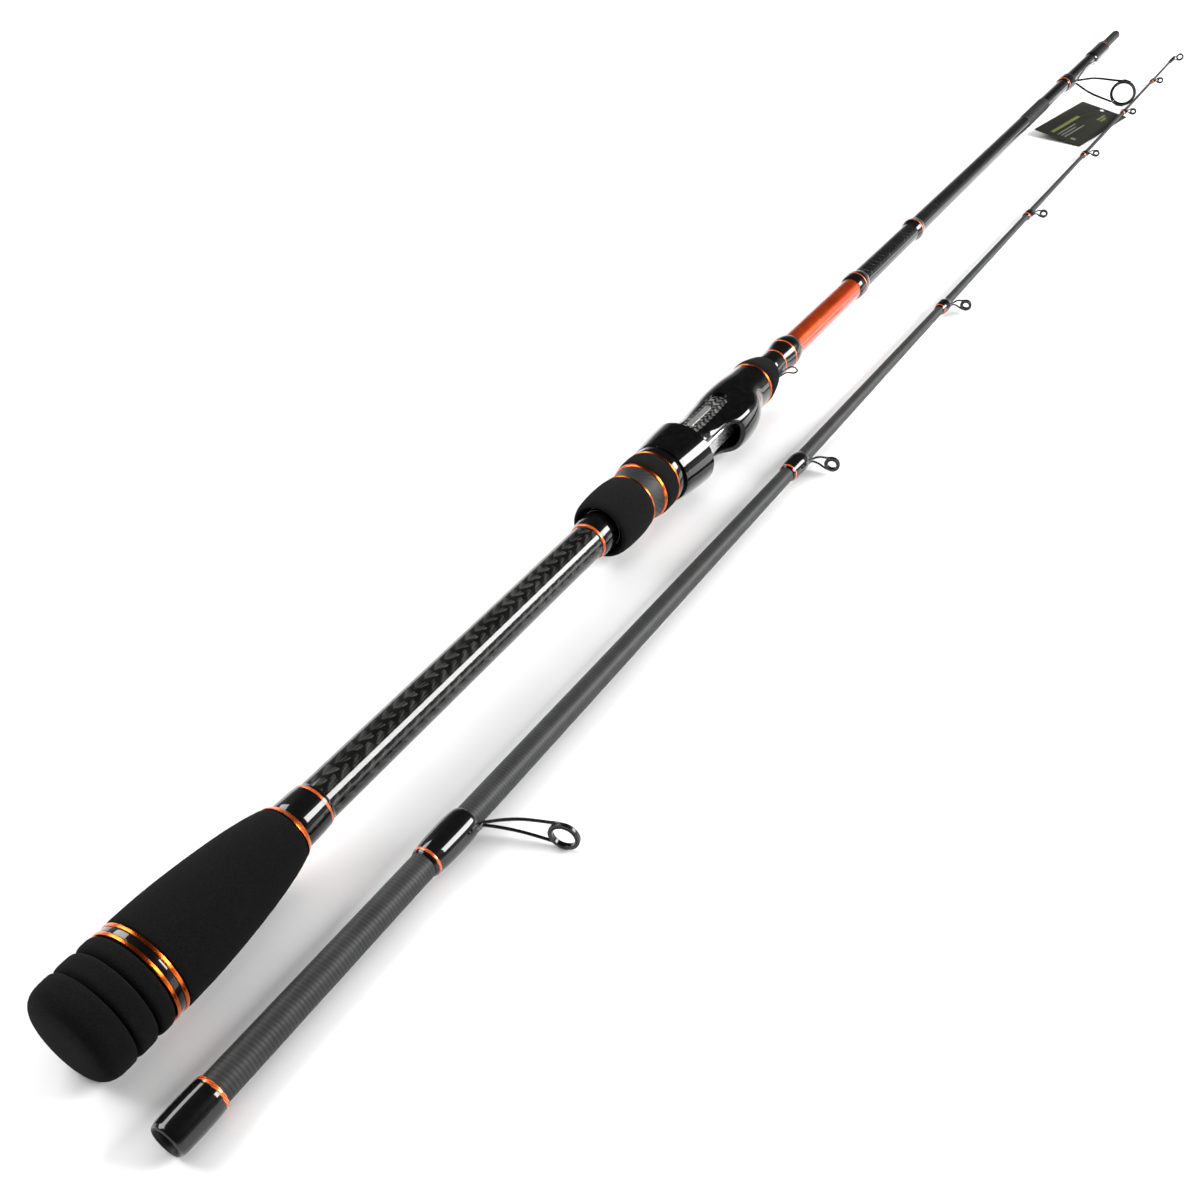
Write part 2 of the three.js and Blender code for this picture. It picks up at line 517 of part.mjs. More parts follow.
// ---------------------------------------------------------------- hang tag
// the card lies against the surface with its far long edge a little raised
function addHangTag(parent) {
  const { x, y, length, width, thickness, yaw, tilt } = TAG;
  const holeInset = 5;
  const tiltAngle = THREE.MathUtils.degToRad(tilt);
  const card = cut(
    block(-length / 2, length / 2, -width / 2, width / 2, 0, thickness),
    new THREE.CylinderGeometry(2, 2, 4, 12).rotateX(Math.PI / 2).translate(length / 2 - holeInset, 0, 0),
  );
  const tag = addPart(parent, 'hang_tag', card, CARD);
  tag.rotation.set(tiltAngle, 0, THREE.MathUtils.degToRad(yaw), 'ZYX');
  tag.position.set(x, y, 0.1 + (width / 2) * Math.sin(tiltAngle));
  const local = (lx, ly, lz) => new THREE.Vector3(lx, ly, lz).applyEuler(tag.rotation).add(tag.position);
  // the loop runs up through the hole, round the rim of the stripping guide and back under the card
  const hole = length / 2 - holeInset;
  const roll = THREE.MathUtils.degToRad(GUIDE_ROLL);
  const { ring, height, radius } = STRIPPING;
  const rim = (alongRod, out) => new THREE.Vector3(
    ring + alongRod,
    -height * Math.cos(roll) + out * Math.SQRT1_2,
    AXIS_HEIGHT - height * Math.sin(roll) - out * Math.SQRT1_2,
  );
  const path = new THREE.CatmullRomCurve3([
    local(hole, 0, -0.6),
    local(hole, 0, 2.2),
    local(hole + 7, -1.5, 4.4),
    rim(-5, radius - 6),
    rim(0, radius - 5.4),
    rim(3.4, radius - 1.5),
    rim(2.6, radius + 2.2),
    rim(-4, radius + 2.6),
    local(hole + 7, -0.5, 0.4),
    local(hole + 3, 0, -1.1),
    local(hole + 1, 0, -1.3),
  ], true);
  addPart(parent, 'tag_loop', faceOutwards(new THREE.TubeGeometry(path, 44, 0.3, 5, true)), CLEAR);
}

// ---------------------------------------------------------------- assembly
function place(parent, start, end, roll) {
  const group = new THREE.Group();
  const direction = end.clone().sub(start).normalize();
  group.quaternion.setFromUnitVectors(new THREE.Vector3(1, 0, 0), direction);
  group.position.copy(start);
  const rolled = new THREE.Group();
  rolled.rotation.x = THREE.MathUtils.degToRad(roll);
  group.add(rolled);
  parent.add(group);
  return rolled;
}

const layout = new THREE.Group();
const buttAxis = [new THREE.Vector3(0, 0, AXIS_HEIGHT), new THREE.Vector3(1, 0, AXIS_HEIGHT)];
const butt = place(layout, ...buttAxis, GUIDE_ROLL);
addRearHandle(butt);
addReelSeat(butt);
addSlidingHood(butt);
addLockNut(butt);
addForeGrip(butt);
addButtBlank(butt);
addStrippingGuide(butt);
addTipSection(place(layout, TIP_START, TIP_END, TIP_GUIDE_ROLL));
addHangTag(layout);

// origin at the middle of the footprint, on the surface
const bounds = new THREE.Box3().setFromObject(layout, true);
const middle = bounds.getCenter(new THREE.Vector3());
layout.position.set(-middle.x, -middle.y, -bounds.min.z);
const rod = new THREE.Group();
rod.add(layout);

export default rod;
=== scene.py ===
"""Two-piece spinning rod, taken down: smooth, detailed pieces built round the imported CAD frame."""
import json
import math

import bmesh
import bpy
from mathutils import Matrix, Vector


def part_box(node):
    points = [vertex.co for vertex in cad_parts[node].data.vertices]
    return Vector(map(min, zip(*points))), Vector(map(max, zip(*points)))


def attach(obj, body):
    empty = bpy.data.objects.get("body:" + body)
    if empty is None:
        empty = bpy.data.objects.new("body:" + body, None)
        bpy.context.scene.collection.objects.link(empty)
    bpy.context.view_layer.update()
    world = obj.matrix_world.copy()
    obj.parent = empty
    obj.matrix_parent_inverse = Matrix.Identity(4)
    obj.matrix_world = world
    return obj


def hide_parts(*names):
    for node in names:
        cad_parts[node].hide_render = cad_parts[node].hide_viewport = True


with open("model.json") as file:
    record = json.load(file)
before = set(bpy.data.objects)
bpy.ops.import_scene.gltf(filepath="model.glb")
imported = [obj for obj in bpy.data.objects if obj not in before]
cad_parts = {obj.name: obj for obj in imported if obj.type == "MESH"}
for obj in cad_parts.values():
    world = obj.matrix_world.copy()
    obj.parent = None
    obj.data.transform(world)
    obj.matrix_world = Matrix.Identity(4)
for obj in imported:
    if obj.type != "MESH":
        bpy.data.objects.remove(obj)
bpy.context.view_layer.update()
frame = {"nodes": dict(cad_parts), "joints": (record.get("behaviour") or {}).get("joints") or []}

MM = 0.001
RAD = math.radians

# ---------------------------------------------------------------- the two rod axes
# Every piece is built in millimetres in the frame of its own section:
# x along the rod from its rear end, -y towards the guides, z across.
GUIDE_ROLL = RAD(5)
TIP_GUIDE_ROLL = RAD(1)
AXIS_HEIGHT = 18.05
FERRULE_LIP = 0.4
FERRULE_WINDING_LENGTH = 18.1


def section_matrix(start, direction, roll):
    turn = Vector((1, 0, 0)).rotation_difference(direction).to_matrix().to_4x4()
    return Matrix.Translation(start) @ turn @ Matrix.Rotation(roll, 4, "X") @ Matrix.Scale(MM, 4)


def middle(node):
    low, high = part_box(node)
    return (low + high) / 2


butt_start = Vector((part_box("butt_cap")[0].x, *middle("butt_cap").yz))
tip_axis = Vector(next(j["axis"] for j in frame["joints"] if j["name"] == "tip_slide")).normalized()
# the section starts at the ferrule's mouth, a lip behind the rear end of its winding
tip_start = middle("ferrule_winding") - tip_axis * (FERRULE_LIP + FERRULE_WINDING_LENGTH / 2) * MM
BUTT = section_matrix(butt_start, Vector((1, 0, 0)), GUIDE_ROLL)
TIP = section_matrix(tip_start, tip_axis, TIP_GUIDE_ROLL)
GROUND = min(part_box(node)[0].z for node in frame["nodes"])


# ---------------------------------------------------------------- mesh building
def make_object(name, verts, faces, matrix, material, smooth=True):
    mesh = bpy.data.meshes.new(name)
    mesh.from_pydata([tuple(v) for v in verts], [], faces)
    mesh.materials.append(material)
    for polygon in mesh.polygons:
        polygon.use_smooth = smooth
    mesh.update()
    obj = bpy.data.objects.new(name, mesh)
    bpy.context.scene.collection.objects.link(obj)
    obj.matrix_world = matrix
    return obj


def outline_faces(count, sides, closed):
    """The side faces between count rows of points, each row a loop of so many sides."""
    faces = []
    rows = count if closed else count - 1
    for i in range(rows):
        j = (i + 1) % count
        for k in range(sides):
            n = (k + 1) % sides
            faces.append((i * sides + k, i * sides + n, j * sides + n, j * sides + k))
    return faces


def end_fans(verts, rows, sides, first_point, last_point):
    """Adds a point at each end of the rows and returns the faces that close the ends on them."""
    verts += [first_point, last_point]
    first, last = len(verts) - 2, len(verts) - 1
    base = (rows - 1) * sides
    faces = []
    for k in range(sides):
        n = (k + 1) % sides
        faces.append((first, n, k))
        faces.append((last, base + k, base + n))
    return faces


def rounded(points, radius, steps=4):
    """Rounds the inner corners of an outline of (x, r) points, each by at most half its shorter side."""
    result = [points[0]]
    for before, corner, after in zip(points, points[1:], points[2:]):
        c = Vector(corner)
        to_before, to_after = Vector(before) - c, Vector(after) - c
        reach = min(radius, to_before.length / 2, to_after.length / 2)
        first = c + to_before.normalized() * reach
        last = c + to_after.normalized() * reach
        for i in range(steps + 1):
            t = i / steps
            p = first.lerp(c, t).lerp(c.lerp(last, t), t)
            result.append((p.x, p.y))
    result.append(points[-1])
    return result


def between(p0, p1, p2, p3, t):
    """The smooth curve from p1 (t = 0) to p2 (t = 1), with its neighbours p0 and p3."""
    return 0.5 * ((2 * p1) + (p2 - p0) * t + (2 * p0 - 5 * p1 + 4 * p2 - p3) * t * t
                  + (3 * p1 - p0 - 3 * p2 + p3) * t ** 3)


def spline(points, steps):
    """A smooth curve through points, steps per stretch, ends included."""
    vectors = [Vector(p) for p in points]
    padded = [vectors[0] * 2 - vectors[1]] + vectors + [vectors[-1] * 2 - vectors[-2]]
    result = []
    for i in range(1, len(padded) - 2):
        result += [between(*padded[i - 1:i + 3], s / steps) for s in range(steps)]
    result.append(vectors[-1])
    return result


def curved(points, steps):
    """A smooth outline through (x, r) points."""
    return [tuple(p) for p in spline(points, steps)]


def sweep(points, radius, sides=16, closed=False):
    """Verts and faces of a round wire along points."""
    points = [Vector(p) for p in points]
    count = len(points)
    tangents = []
    for i in range(count):
        if closed:
            step = points[(i + 1) % count] - points[i - 1]
        else:
            step = points[min(i + 1, count - 1)] - points[max(i - 1, 0)]
        tangents.append(step.normalized())
    normal = tangents[0].orthogonal().normalized()
    verts, normals = [], []
    for tangent in tangents:
        normal = (normal - tangent * normal.dot(tangent)).normalized()
        normals.append(normal.copy())
    twist = 0.0
    if closed:
        end = (normals[-1] - tangents[0] * normals[-1].dot(tangents[0])).normalized()
        twist = math.atan2(end.cross(normals[0]).dot(tangents[0]), end.dot(normals[0]))
    for i, (point, tangent, n) in enumerate(zip(points, tangents, normals)):
        side = tangent.cross(n)
        for k in range(sides):
            a = 2 * math.pi * k / sides + twist * i / count
            verts.append(point + n * (math.cos(a) * radius) + side * (math.sin(a) * radius))
    faces = outline_faces(count, sides, closed)
    if not closed:
        faces += end_fans(verts, count, sides, points[0] - tangents[0] * radius * 0.4,
                          points[-1] + tangents[-1] * radius * 0.4)
    return verts, [tuple(reversed(face)) for face in faces]


def merged(*parts):
    """Several (verts, faces) pairs as one."""
    verts, faces = [], []
    for part_verts, part_faces in parts:
        start = len(verts)
        verts += list(part_verts)
        faces += [tuple(i + start for i in face) for face in part_faces]
    return verts, faces


def lathe(outline, sides=96):
    """Verts and faces of an outline of (x, r) points turned round the rod axis.
    An outline that starts and ends on the axis is a solid; any other closes on itself as a tube."""
    on_axis = outline[0][1] < 1e-6 and outline[-1][1] < 1e-6
    ring_points = outline[1:-1] if on_axis else outline
    verts = []
    for x, r in ring_points:
        for k in range(sides):
            a = 2 * math.pi * k / sides
            verts.append((x, -r * math.cos(a), r * math.sin(a)))
    faces = outline_faces(len(ring_points), sides, closed=not on_axis)
    if on_axis:
        faces += end_fans(verts, len(ring_points), sides, (outline[0][0], 0, 0), (outline[-1][0], 0, 0))
    return verts, faces


def solidified(obj, cutters=(), bevel=0.0):
    """Cuts obj with other objects, rounds its edges, and leaves one plain mesh with no modifiers."""
    for cutter in cutters:
        cut = obj.modifiers.new("cut", "BOOLEAN")
        cut.operation = "DIFFERENCE"
        cut.solver = "EXACT"
        cut.object = cutter
    if bevel:
        edge = obj.modifiers.new("edge", "BEVEL")
        edge.width = bevel
        edge.segments = 3
        edge.limit_method = "ANGLE"
        edge.angle_limit = RAD(40)
    bpy.context.view_layer.update()
    graph = bpy.context.evaluated_depsgraph_get()
    mesh = bpy.data.meshes.new_from_object(obj.evaluated_get(graph))
    obj.modifiers.clear()
    old = obj.data
    obj.data = mesh
    bpy.data.meshes.remove(old)
    for cutter in cutters:
        bpy.data.objects.remove(cutter)
    for polygon in mesh.polygons:
        polygon.use_smooth = True
    mesh.set_sharp_from_angle(angle=RAD(35))
    return obj


def fix_normals(obj):
    """Turns every face outwards."""
    work = bmesh.new()
    work.from_mesh(obj.data)
    bmesh.ops.recalc_face_normals(work, faces=work.faces)
    work.to_mesh(obj.data)
    work.free()


def settle(obj, matrix):
    """Moves a piece's vertices to their place, keeping their section millimetres for its material."""
    mesh = obj.data
    kept = mesh.attributes.new("section_mm", "FLOAT_VECTOR", "POINT")
    flat = [c for vertex in mesh.vertices for c in vertex.co]
    kept.data.foreach_set("vector", flat)
    mesh.transform(matrix)
    obj.matrix_world = Matrix.Identity(4)


def piece(name, shape, material, nodes=(), body="butt_section", matrix=None):
    """A finished piece of the rod: shape is (verts, faces) in section millimetres, or a built object."""
    matrix = matrix or (TIP if body == "tip_section" else BUTT)
    if isinstance(shape, tuple):
        obj = make_object(name, shape[0], shape[1], matrix, material)
        fix_normals(obj)
        obj.data.set_sharp_from_angle(angle=RAD(40))
    else:
        obj = shape
        obj.name = name
        obj.data.materials.clear()
        obj.data.materials.append(material)
    settle(obj, matrix)
    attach(obj, body)
    if nodes:
        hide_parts(*nodes)
    return obj


# ---------------------------------------------------------------- materials
class Shader:
    """A Principled material and short calls for the nodes that feed it."""

    def __init__(self, name, base, roughness, metallic=0.0, coat=0.0, coat_roughness=0.03, specular=0.5):
        self.material = bpy.data.materials.new(name)
        self.material.use_nodes = True
        self.tree = self.material.node_tree
        self.shader = self.tree.nodes["Principled BSDF"]
        self.set("Base Color", (*base, 1))
        self.set("Roughness", roughness)
        self.set("Metallic", metallic)
        self.set("Coat Weight", coat)
        self.set("Coat Roughness", coat_roughness)
        self.set("Specular IOR Level", specular)
        self.coordinates = None

    def set(self, socket, value):
        self.shader.inputs[socket].default_value = value

    def link(self, source, target):
        self.tree.links.new(source, target)

    def node(self, kind, **settings):
        made = self.tree.nodes.new(kind)
        for key, value in settings.items():
            setattr(made, key, value)
        return made

    def math(self, operation, first, second=None, third=None):
        made = self.node("ShaderNodeMath", operation=operation)
        for socket, value in zip(made.inputs, (first, second, third)):
            if value is None:
                continue
            if isinstance(value, (int, float)):
                socket.default_value = value
            else:
                self.link(value, socket)
        return made.outputs[0]

    def place(self):
        """(x, y, z, angle) in section millimetres; angle runs round the rod from -pi to pi."""
        if self.coordinates is None:
            source = self.node("ShaderNodeAttribute", attribute_name="section_mm")
            split = self.node("ShaderNodeSeparateXYZ")
            self.link(source.outputs["Vector"], split.inputs[0])
            x, y, z = split.outputs
            self.coordinates = (x, y, z, self.math("ARCTAN2", z, self.math("MULTIPLY", y, -1.0)))
            self.vector = source.outputs["Vector"]
        return self.coordinates

    def noise(self, scale, detail=2.0, stretch=(1, 1, 1)):
        self.place()
        mapping = self.node("ShaderNodeMapping")
        mapping.inputs["Scale"].default_value = stretch
        self.link(self.vector, mapping.inputs["Vector"])
        made = self.node("ShaderNodeTexNoise")
        made.inputs["Scale"].default_value = scale
        made.inputs["Detail"].default_value = detail
        self.link(mapping.outputs[0], made.inputs["Vector"])
        return made.outputs["Fac"]

    def ramp(self, factor, stops):
        made = self.node("ShaderNodeValToRGB")
        elements = made.color_ramp.elements
        while len(elements) < len(stops):
            elements.new(0.5)
        for element, (position, colour) in zip(elements, stops):
            element.position = position
            element.color = (*colour, 1)
        self.link(factor, made.inputs["Fac"])
        return made.outputs["Color"]

    def mix(self, factor, first, second):
        made = self.node("ShaderNodeMix", data_type="RGBA")
        # the node has several sockets called A and B; 6 and 7 are the two colours
        for index, value in ((0, factor), (6, first), (7, second)):
            if hasattr(value, "default_value"):
                self.link(value, made.inputs[index])
            else:
                made.inputs[index].default_value = value if isinstance(value, (int, float)) else (*value, 1)
        return made.outputs[2]

    def to(self, socket, value):
        self.link(value, self.shader.inputs[socket])

    def bump(self, height, distance_mm, strength=1.0):
        made = self.node("ShaderNodeBump")
        made.inputs["Distance"].default_value = distance_mm * MM
        made.inputs["Strength"].default_value = strength
        self.link(height, made.inputs["Height"])
        self.link(made.outputs["Normal"], self.shader.inputs["Normal"])


def grey(value):
    return (value, value, value)


def foam(name, base, speckle):
    """Closed-cell foam: near black, dull, with fine pores and faint lighter dust."""
    s = Shader(name, base, 0.95, specular=0.04)
    fine = s.noise(2.6, 3.0)
    coarse = s.noise(0.22, 2.0)
    low = tuple(c * 0.7 for c in base)
    high = tuple(c + speckle for c in base)
    tone = s.ramp(fine, [(0.3, low), (0.72, high)])
    s.to("Base Color", s.mix(s.math("MULTIPLY", coarse, 0.5), tone, base))
    s.bump(fine, 0.12, 0.6)
    s.set("Sheen Weight", 0.012)
    s.set("Sheen Roughness", 0.6)
    return s.material


def anodised(name, base, roughness=0.24):
    """Turned and anodised metal: fine tool lines round the rod, a little tone change along them."""
    s = Shader(name, base, roughness, metallic=1.0)
    x = s.place()[0]
    lines = s.math("SINE", s.math("MULTIPLY", x, 26.0))
    patches = s.noise(0.5, 2.0)
    dark = tuple(c * 0.8 for c in base)
    bright = tuple(min(1.0, c * 1.12 + 0.01) for c in base)
    s.to("Base Color", s.ramp(patches, [(0.3, dark), (0.7, bright)]))
    s.bump(lines, 0.02, 0.35)
    return s.material


def lacquer(name, base=grey(0.002), thread_pitch=0.0, roughness=0.3):
    """Black finish under a thick clear coat. With a pitch, wound thread shows faintly through it."""
    s = Shader(name, base, roughness, coat=1.0, coat_roughness=0.02, specular=0.05)
    x = s.place()[0]
    tone = s.noise(0.35, 2.0)
    lighter = tuple(c + 0.003 for c in base)
    colour = s.ramp(tone, [(0.35, base), (0.75, lighter)])
    if thread_pitch:
        thread = s.math("SINE", s.math("MULTIPLY", x, 2 * math.pi / thread_pitch))
        brighter = tuple(c + 0.006 for c in base)
        wound = s.ramp(s.math("MULTIPLY_ADD", thread, 0.5, 0.5), [(0.2, base), (1.0, brighter)])
        colour = s.mix(0.5, colour, wound)
        s.bump(thread, 0.02, 0.12)
    s.to("Base Color", colour)
    return s.material


def thread_ring(name, base):
    """Metallic thread wound side by side under clear epoxy."""
    s = Shader(name, base, 0.35, metallic=0.55, coat=1.0, coat_roughness=0.03)
    x, _, _, angle = s.place()
    twist = s.math("ADD", s.math("MULTIPLY", x, 9.0), s.math("MULTIPLY", angle, 14.0))
    strands = s.math("SINE", twist)
    flakes = s.noise(3.2, 3.0)
    level = s.math("MULTIPLY_ADD", strands, 0.22, flakes)
    dark = tuple(c * 0.35 for c in base)
    bright = tuple(min(1.0, c * 1.5 + 0.02) for c in base)
    s.to("Base Color", s.ramp(level, [(0.25, dark), (0.5, base), (0.8, bright)]))
    s.bump(strands, 0.04, 0.4)
    return s.material


def scale_weave(name, pitch, cells, dark, light):
    """Carbon cloth laid in overlapping scales: fibres fan out of each scale's root, under clear coat."""
    s = Shader(name, dark, 0.5, coat=1.0, coat_roughness=0.015, specular=0.04)
    x, _, _, angle = s.place()
    v = s.math("MULTIPLY", angle, cells / (2 * math.pi))
    u = s.math("DIVIDE", x, pitch)
    odd = s.math("MULTIPLY", s.math("MODULO", s.math("ADD", s.math("FLOOR", v), 1000.0), 2.0), 0.5)
    across = s.math("SUBTRACT", s.math("FRACT", v), 0.5)
    row = s.math("ADD", s.math("ADD", u, odd), s.math("MULTIPLY", s.noise(0.3), 0.5))
    along = s.math("FRACT", row)
    cell = s.node("ShaderNodeCombineXYZ")
    s.link(s.math("FLOOR", v), cell.inputs[0])
    s.link(s.math("FLOOR", row), cell.inputs[1])
    shade = s.node("ShaderNodeTexWhiteNoise", noise_dimensions="3D")
    s.link(cell.outputs[0], shade.inputs["Vector"])
    wedge = s.math("SUBTRACT", along, s.math("MULTIPLY", s.math("ABSOLUTE", across), 1.3))
    fan = s.math("ARCTAN2", across, s.math("ADD", along, 0.25))
    fibres = s.math("SINE", s.math("MULTIPLY", fan, 30.0))
    wobble = s.noise(1.6, 3.0, (0.6, 1, 1))
    stops = ((0.0, 0.1), (0.1, 0.2), (0.28, 0.8), (0.6, 0.45), (1.0, 0.03))
    body = s.ramp(wedge, [(position, grey(value)) for position, value in stops])
    uneven = s.math("MULTIPLY_ADD", shade.outputs["Value"], 0.45, s.math("MULTIPLY_ADD", wobble, 0.8, 0.0))
    level = s.math("MULTIPLY", body, s.math("MULTIPLY_ADD", fibres, 0.25, uneven))
    s.to("Base Color", s.ramp(level, [(0.02, dark), (0.85, light)]))
    return s.material


def twill(name, dark, light, pitch):
    """Fine grey twill cloth: diagonal ribs in a small checked step, satin."""
    s = Shader(name, light, 0.5, metallic=0.2, coat=0.1, coat_roughness=0.4, specular=0.25)
    x, _, _, angle = s.place()
    v = s.math("MULTIPLY", angle, 112.0 / (2 * math.pi))
    u = s.math("DIVIDE", x, pitch)
    step = s.math("FRACT", s.math("MULTIPLY", s.math("ADD", s.math("FLOOR", u), s.math("FLOOR", v)), 0.25))
    over = s.math("GREATER_THAN", step, 0.4)
    crown_u = s.math("ABSOLUTE", s.math("SINE", s.math("MULTIPLY", u, math.pi)))
    crown_v = s.math("ABSOLUTE", s.math("SINE", s.math("MULTIPLY", v, math.pi)))
    crown = s.math("ADD", s.math("MULTIPLY", over, crown_v),
                   s.math("MULTIPLY", s.math("SUBTRACT", 1.0, over), s.math("MULTIPLY", crown_u, 0.6)))
    s.to("Base Color", s.ramp(crown, [(0.1, dark), (0.9, light)]))
    s.bump(crown, 0.12, 0.7)
    return s.material


def taped_blank(name, dark, light, pitch, roughness=0.42):
    """Unsanded blank: the spiral marks of the shrink tape as soft ridges, satin."""
    s = Shader(name, dark, roughness, metallic=0.15, specular=0.28)
    x, _, _, angle = s.place()
    lead = s.math("MULTIPLY_ADD", angle, 1.0, s.math("MULTIPLY", x, 2 * math.pi / pitch))
    ridge = s.math("SINE", lead)
    drift = s.noise(0.12, 3.0, (1, 0.4, 0.4))
    fibre = s.noise(1.4, 3.0, (3.0, 0.3, 0.3))
    level = s.math("ADD", s.math("MULTIPLY_ADD", ridge, 0.09, 0.1),
                   s.math("ADD", s.math("MULTIPLY", drift, 0.4), s.math("MULTIPLY", fibre, 0.4)))
    s.to("Base Color", s.ramp(level, [(0.2, dark), (0.8, light)]))
    s.bump(ridge, 0.03, 0.5)
    return s.material


def painted_blank(name, base, deep):
    """Translucent metallic paint over the blank, under clear coat."""
    s = Shader(name, base, 0.32, metallic=0.7, coat=1.0, coat_roughness=0.02)
    flakes = s.noise(6.0, 2.0)
    drift = s.noise(0.08, 2.0, (1, 2, 2))
    level = s.math("ADD", s.math("MULTIPLY", flakes, 0.35), s.math("MULTIPLY", drift, 0.65))
    s.to("Base Color", s.ramp(level, [(0.35, deep), (0.65, base)]))
    return s.material


def wire_metal(name, base, roughness=0.22):
    """Black-plated wire with faint drawing marks."""
    s = Shader(name, base, roughness, metallic=0.9)
    marks = s.noise(1.8, 3.0, (1, 1, 1))
    s.to("Roughness", s.ramp(marks, [(0.3, grey(roughness * 0.7)), (0.8, grey(roughness * 1.6))]))
    lighter = tuple(c * 1.7 for c in base)
    s.to("Base Color", s.ramp(marks, [(0.35, base), (0.75, lighter)]))
    return s.material


ORANGE = (0.88, 0.16, 0.018)
FOAM = foam("foam", grey(0.004), 0.006)
FOAM_GREY = foam("foam_grey", grey(0.005), 0.008)
ORANGE_METAL = anodised("orange_metal", ORANGE)
ORANGE_THREAD = thread_ring("orange_thread", (0.85, 0.13, 0.015))
GLOSS = lacquer("black_lacquer")
WINDING = lacquer("black_winding", thread_pitch=0.35)
SEAT = lacquer("seat_lacquer", grey(0.002), roughness=0.2)
HANDLE_WEAVE = scale_weave("handle_weave", 6.4, 9, grey(0.0015), (0.062, 0.061, 0.057))
BLANK_WEAVE = scale_weave("blank_weave", 5.2, 6, grey(0.001), (0.03, 0.032, 0.03))
WINDOW_WEAVE = scale_weave("window_weave", 3.6, 18, grey(0.003), (0.24, 0.24, 0.235))
TWILL = twill("grey_twill", grey(0.006), grey(0.035), 0.8)
TIP_BLANK = taped_blank("taped_blank", (0.012, 0.0125, 0.012), (0.044, 0.046, 0.044), 1.4, 0.5)
MATT_BAND = taped_blank("matt_band", grey(0.006), grey(0.02), 0.8, 0.6)
SPIGOT_GREY = taped_blank("spigot_grey", grey(0.006), grey(0.022), 0.9, 0.5)
ORANGE_PAINT = painted_blank("orange_paint", (0.62, 0.07, 0.005), (0.42, 0.036, 0.003))
DARK_BLANK = lacquer("dark_blank", grey(0.002), roughness=0.4)
WIRE = wire_metal("guide_wire", grey(0.035))
BRACE = wire_metal("guide_brace", grey(0.3))
CERAMIC = wire_metal("ring_ceramic", grey(0.03), 0.12)
SILVER = wire_metal("silver_plate", grey(0.6), 0.35)
BED_PLATE = wire_metal("bed_plate", grey(0.5), 0.25)

# ---------------------------------------------------------------- butt section: rear handle
HANDLE_RADIUS = 8.2


def ring(name, x0, x1, r0, r1, material, nodes=(), bore=HANDLE_RADIUS, edge=0.3, body="butt_section"):
    """A collar with rounded edges."""
    outline = rounded([(x0, bore), (x0, r0), (x1, r1), (x1, bore)], edge)
    return piece(name, lathe(outline), material, nodes, body)


def rear_handle():
    cap = [(0, 0), (0.02, 6), (0.2, 11)]
    cap += curved([(0.2, 11), (0.9, 14.4), (2.6, 16.6), (5.2, 17.7), (8.6, 17.95)], 6)[1:]
    cap += [(10.4, 17.9), (11.1, 17.5), (11.35, 16.6), (11.35, 0)]
    piece("foam_butt_cap", lathe(cap), FOAM, ["butt_cap"])
    for name, x0, x1 in (("rear", 11.75, 19.75), ("front", 20.1, 26.5)):
        outline = rounded([(x0, 8), (x0, 17.95), (x1, 17.95), (x1, 8)], 2.3, 6)
        piece(f"foam_disc_{name}", lathe(outline), FOAM, [f"butt_disc_{name}"])
    piece("foam_core", lathe([(11, 8), (11, 15.2), (26.4, 15.2), (26.4, 8)]), FOAM)
    ring("trim_ring_rear", 26.7, 28.0, 17.75, 17.75, ORANGE_METAL, ["butt_trim_ring_rear"])
    ring("trim_band", 28.0, 30.3, 17.45, 17.45, GLOSS, ["butt_trim_band"])
    ring("trim_ring_front", 30.3, 31.6, 17.75, 17.75, ORANGE_METAL, ["butt_trim_ring_front"])
    curve = curved([(32.9, 17.85), (46, 17.55), (60, 16.5), (74, 14.9), (84, 13.2), (90, 11.75),
                    (92.2, 11.0)], 8)
    outline = [(31.8, 8), (31.8, 16.9), (32.2, 17.6), *curve, (92.5, 10.6), (92.5, 8)]
    piece("foam_rear_grip", lathe(outline), FOAM, ["rear_grip"])
    ring("grip_end_ring", 92.8, 95.2, 11.05, 9.75, ORANGE_METAL, ["rear_grip_ring"])
    curve = curved([(95.5, 9.1), (97.5, 9.4), (103, 9.3), (106.6, 9.05)], 6)
    outline = [(95.3, 8.1), *curve, (106.7, 8.1)]
    piece("rear_thread_winding", lathe(outline), WINDING, ["rear_winding"])
    ring("rear_thread_ring", 106.6, 107.9, 9.05, 8.85, ORANGE_THREAD, ["handle_ring_rear"])
    ring("rear_epoxy_lip", 107.9, 109.3, 8.75, 8.25, GLOSS, bore=8.1)
    tube = lathe(rounded([(12, 7.2), (12, 8.2), (449, 8.2), (449, 7.2)], 0.2), 128)
    piece("weave_handle_tube", tube, HANDLE_WEAVE, ["handle_tube"])
    ring("front_thread_ring", 287.5, 288.8, 8.7, 8.95, ORANGE_THREAD, ["handle_ring_front"])
    curve = curved([(288.8, 8.95), (291, 9.35), (296, 9.45), (299.3, 9.2)], 6)
    outline = [(288.8, 8.1), *curve, (299.4, 8.1)]
    piece("handle_front_band", lathe(outline), GLOSS, ["handle_front_winding"])


# ---------------------------------------------------------------- reel seat
BED_LEVEL = 9.8
HOOD_LEVEL = 19
SEAT_BORE = 8.5
SEAT_WAIST = [(359, 12.0), (366, 12.3), (373, 12.4), (380, 12.25), (391, 11.5), (404, 12.2), (413, 13.1),
              (419, 13.5), (426, 13.6), (432, 13.45), (441, 12.85), (451, 12.35)]
HOOD_RISE = [(378, 0), (384, 0.06), (390, 0.15), (396, 0.32), (400, 0.52), (404, 0.76), (408, 0.93),
             (413, 1.0), (419, 0.98), (424, 0.88), (429, 0.64), (434, 0.28), (438, 0.06), (441, 0)]
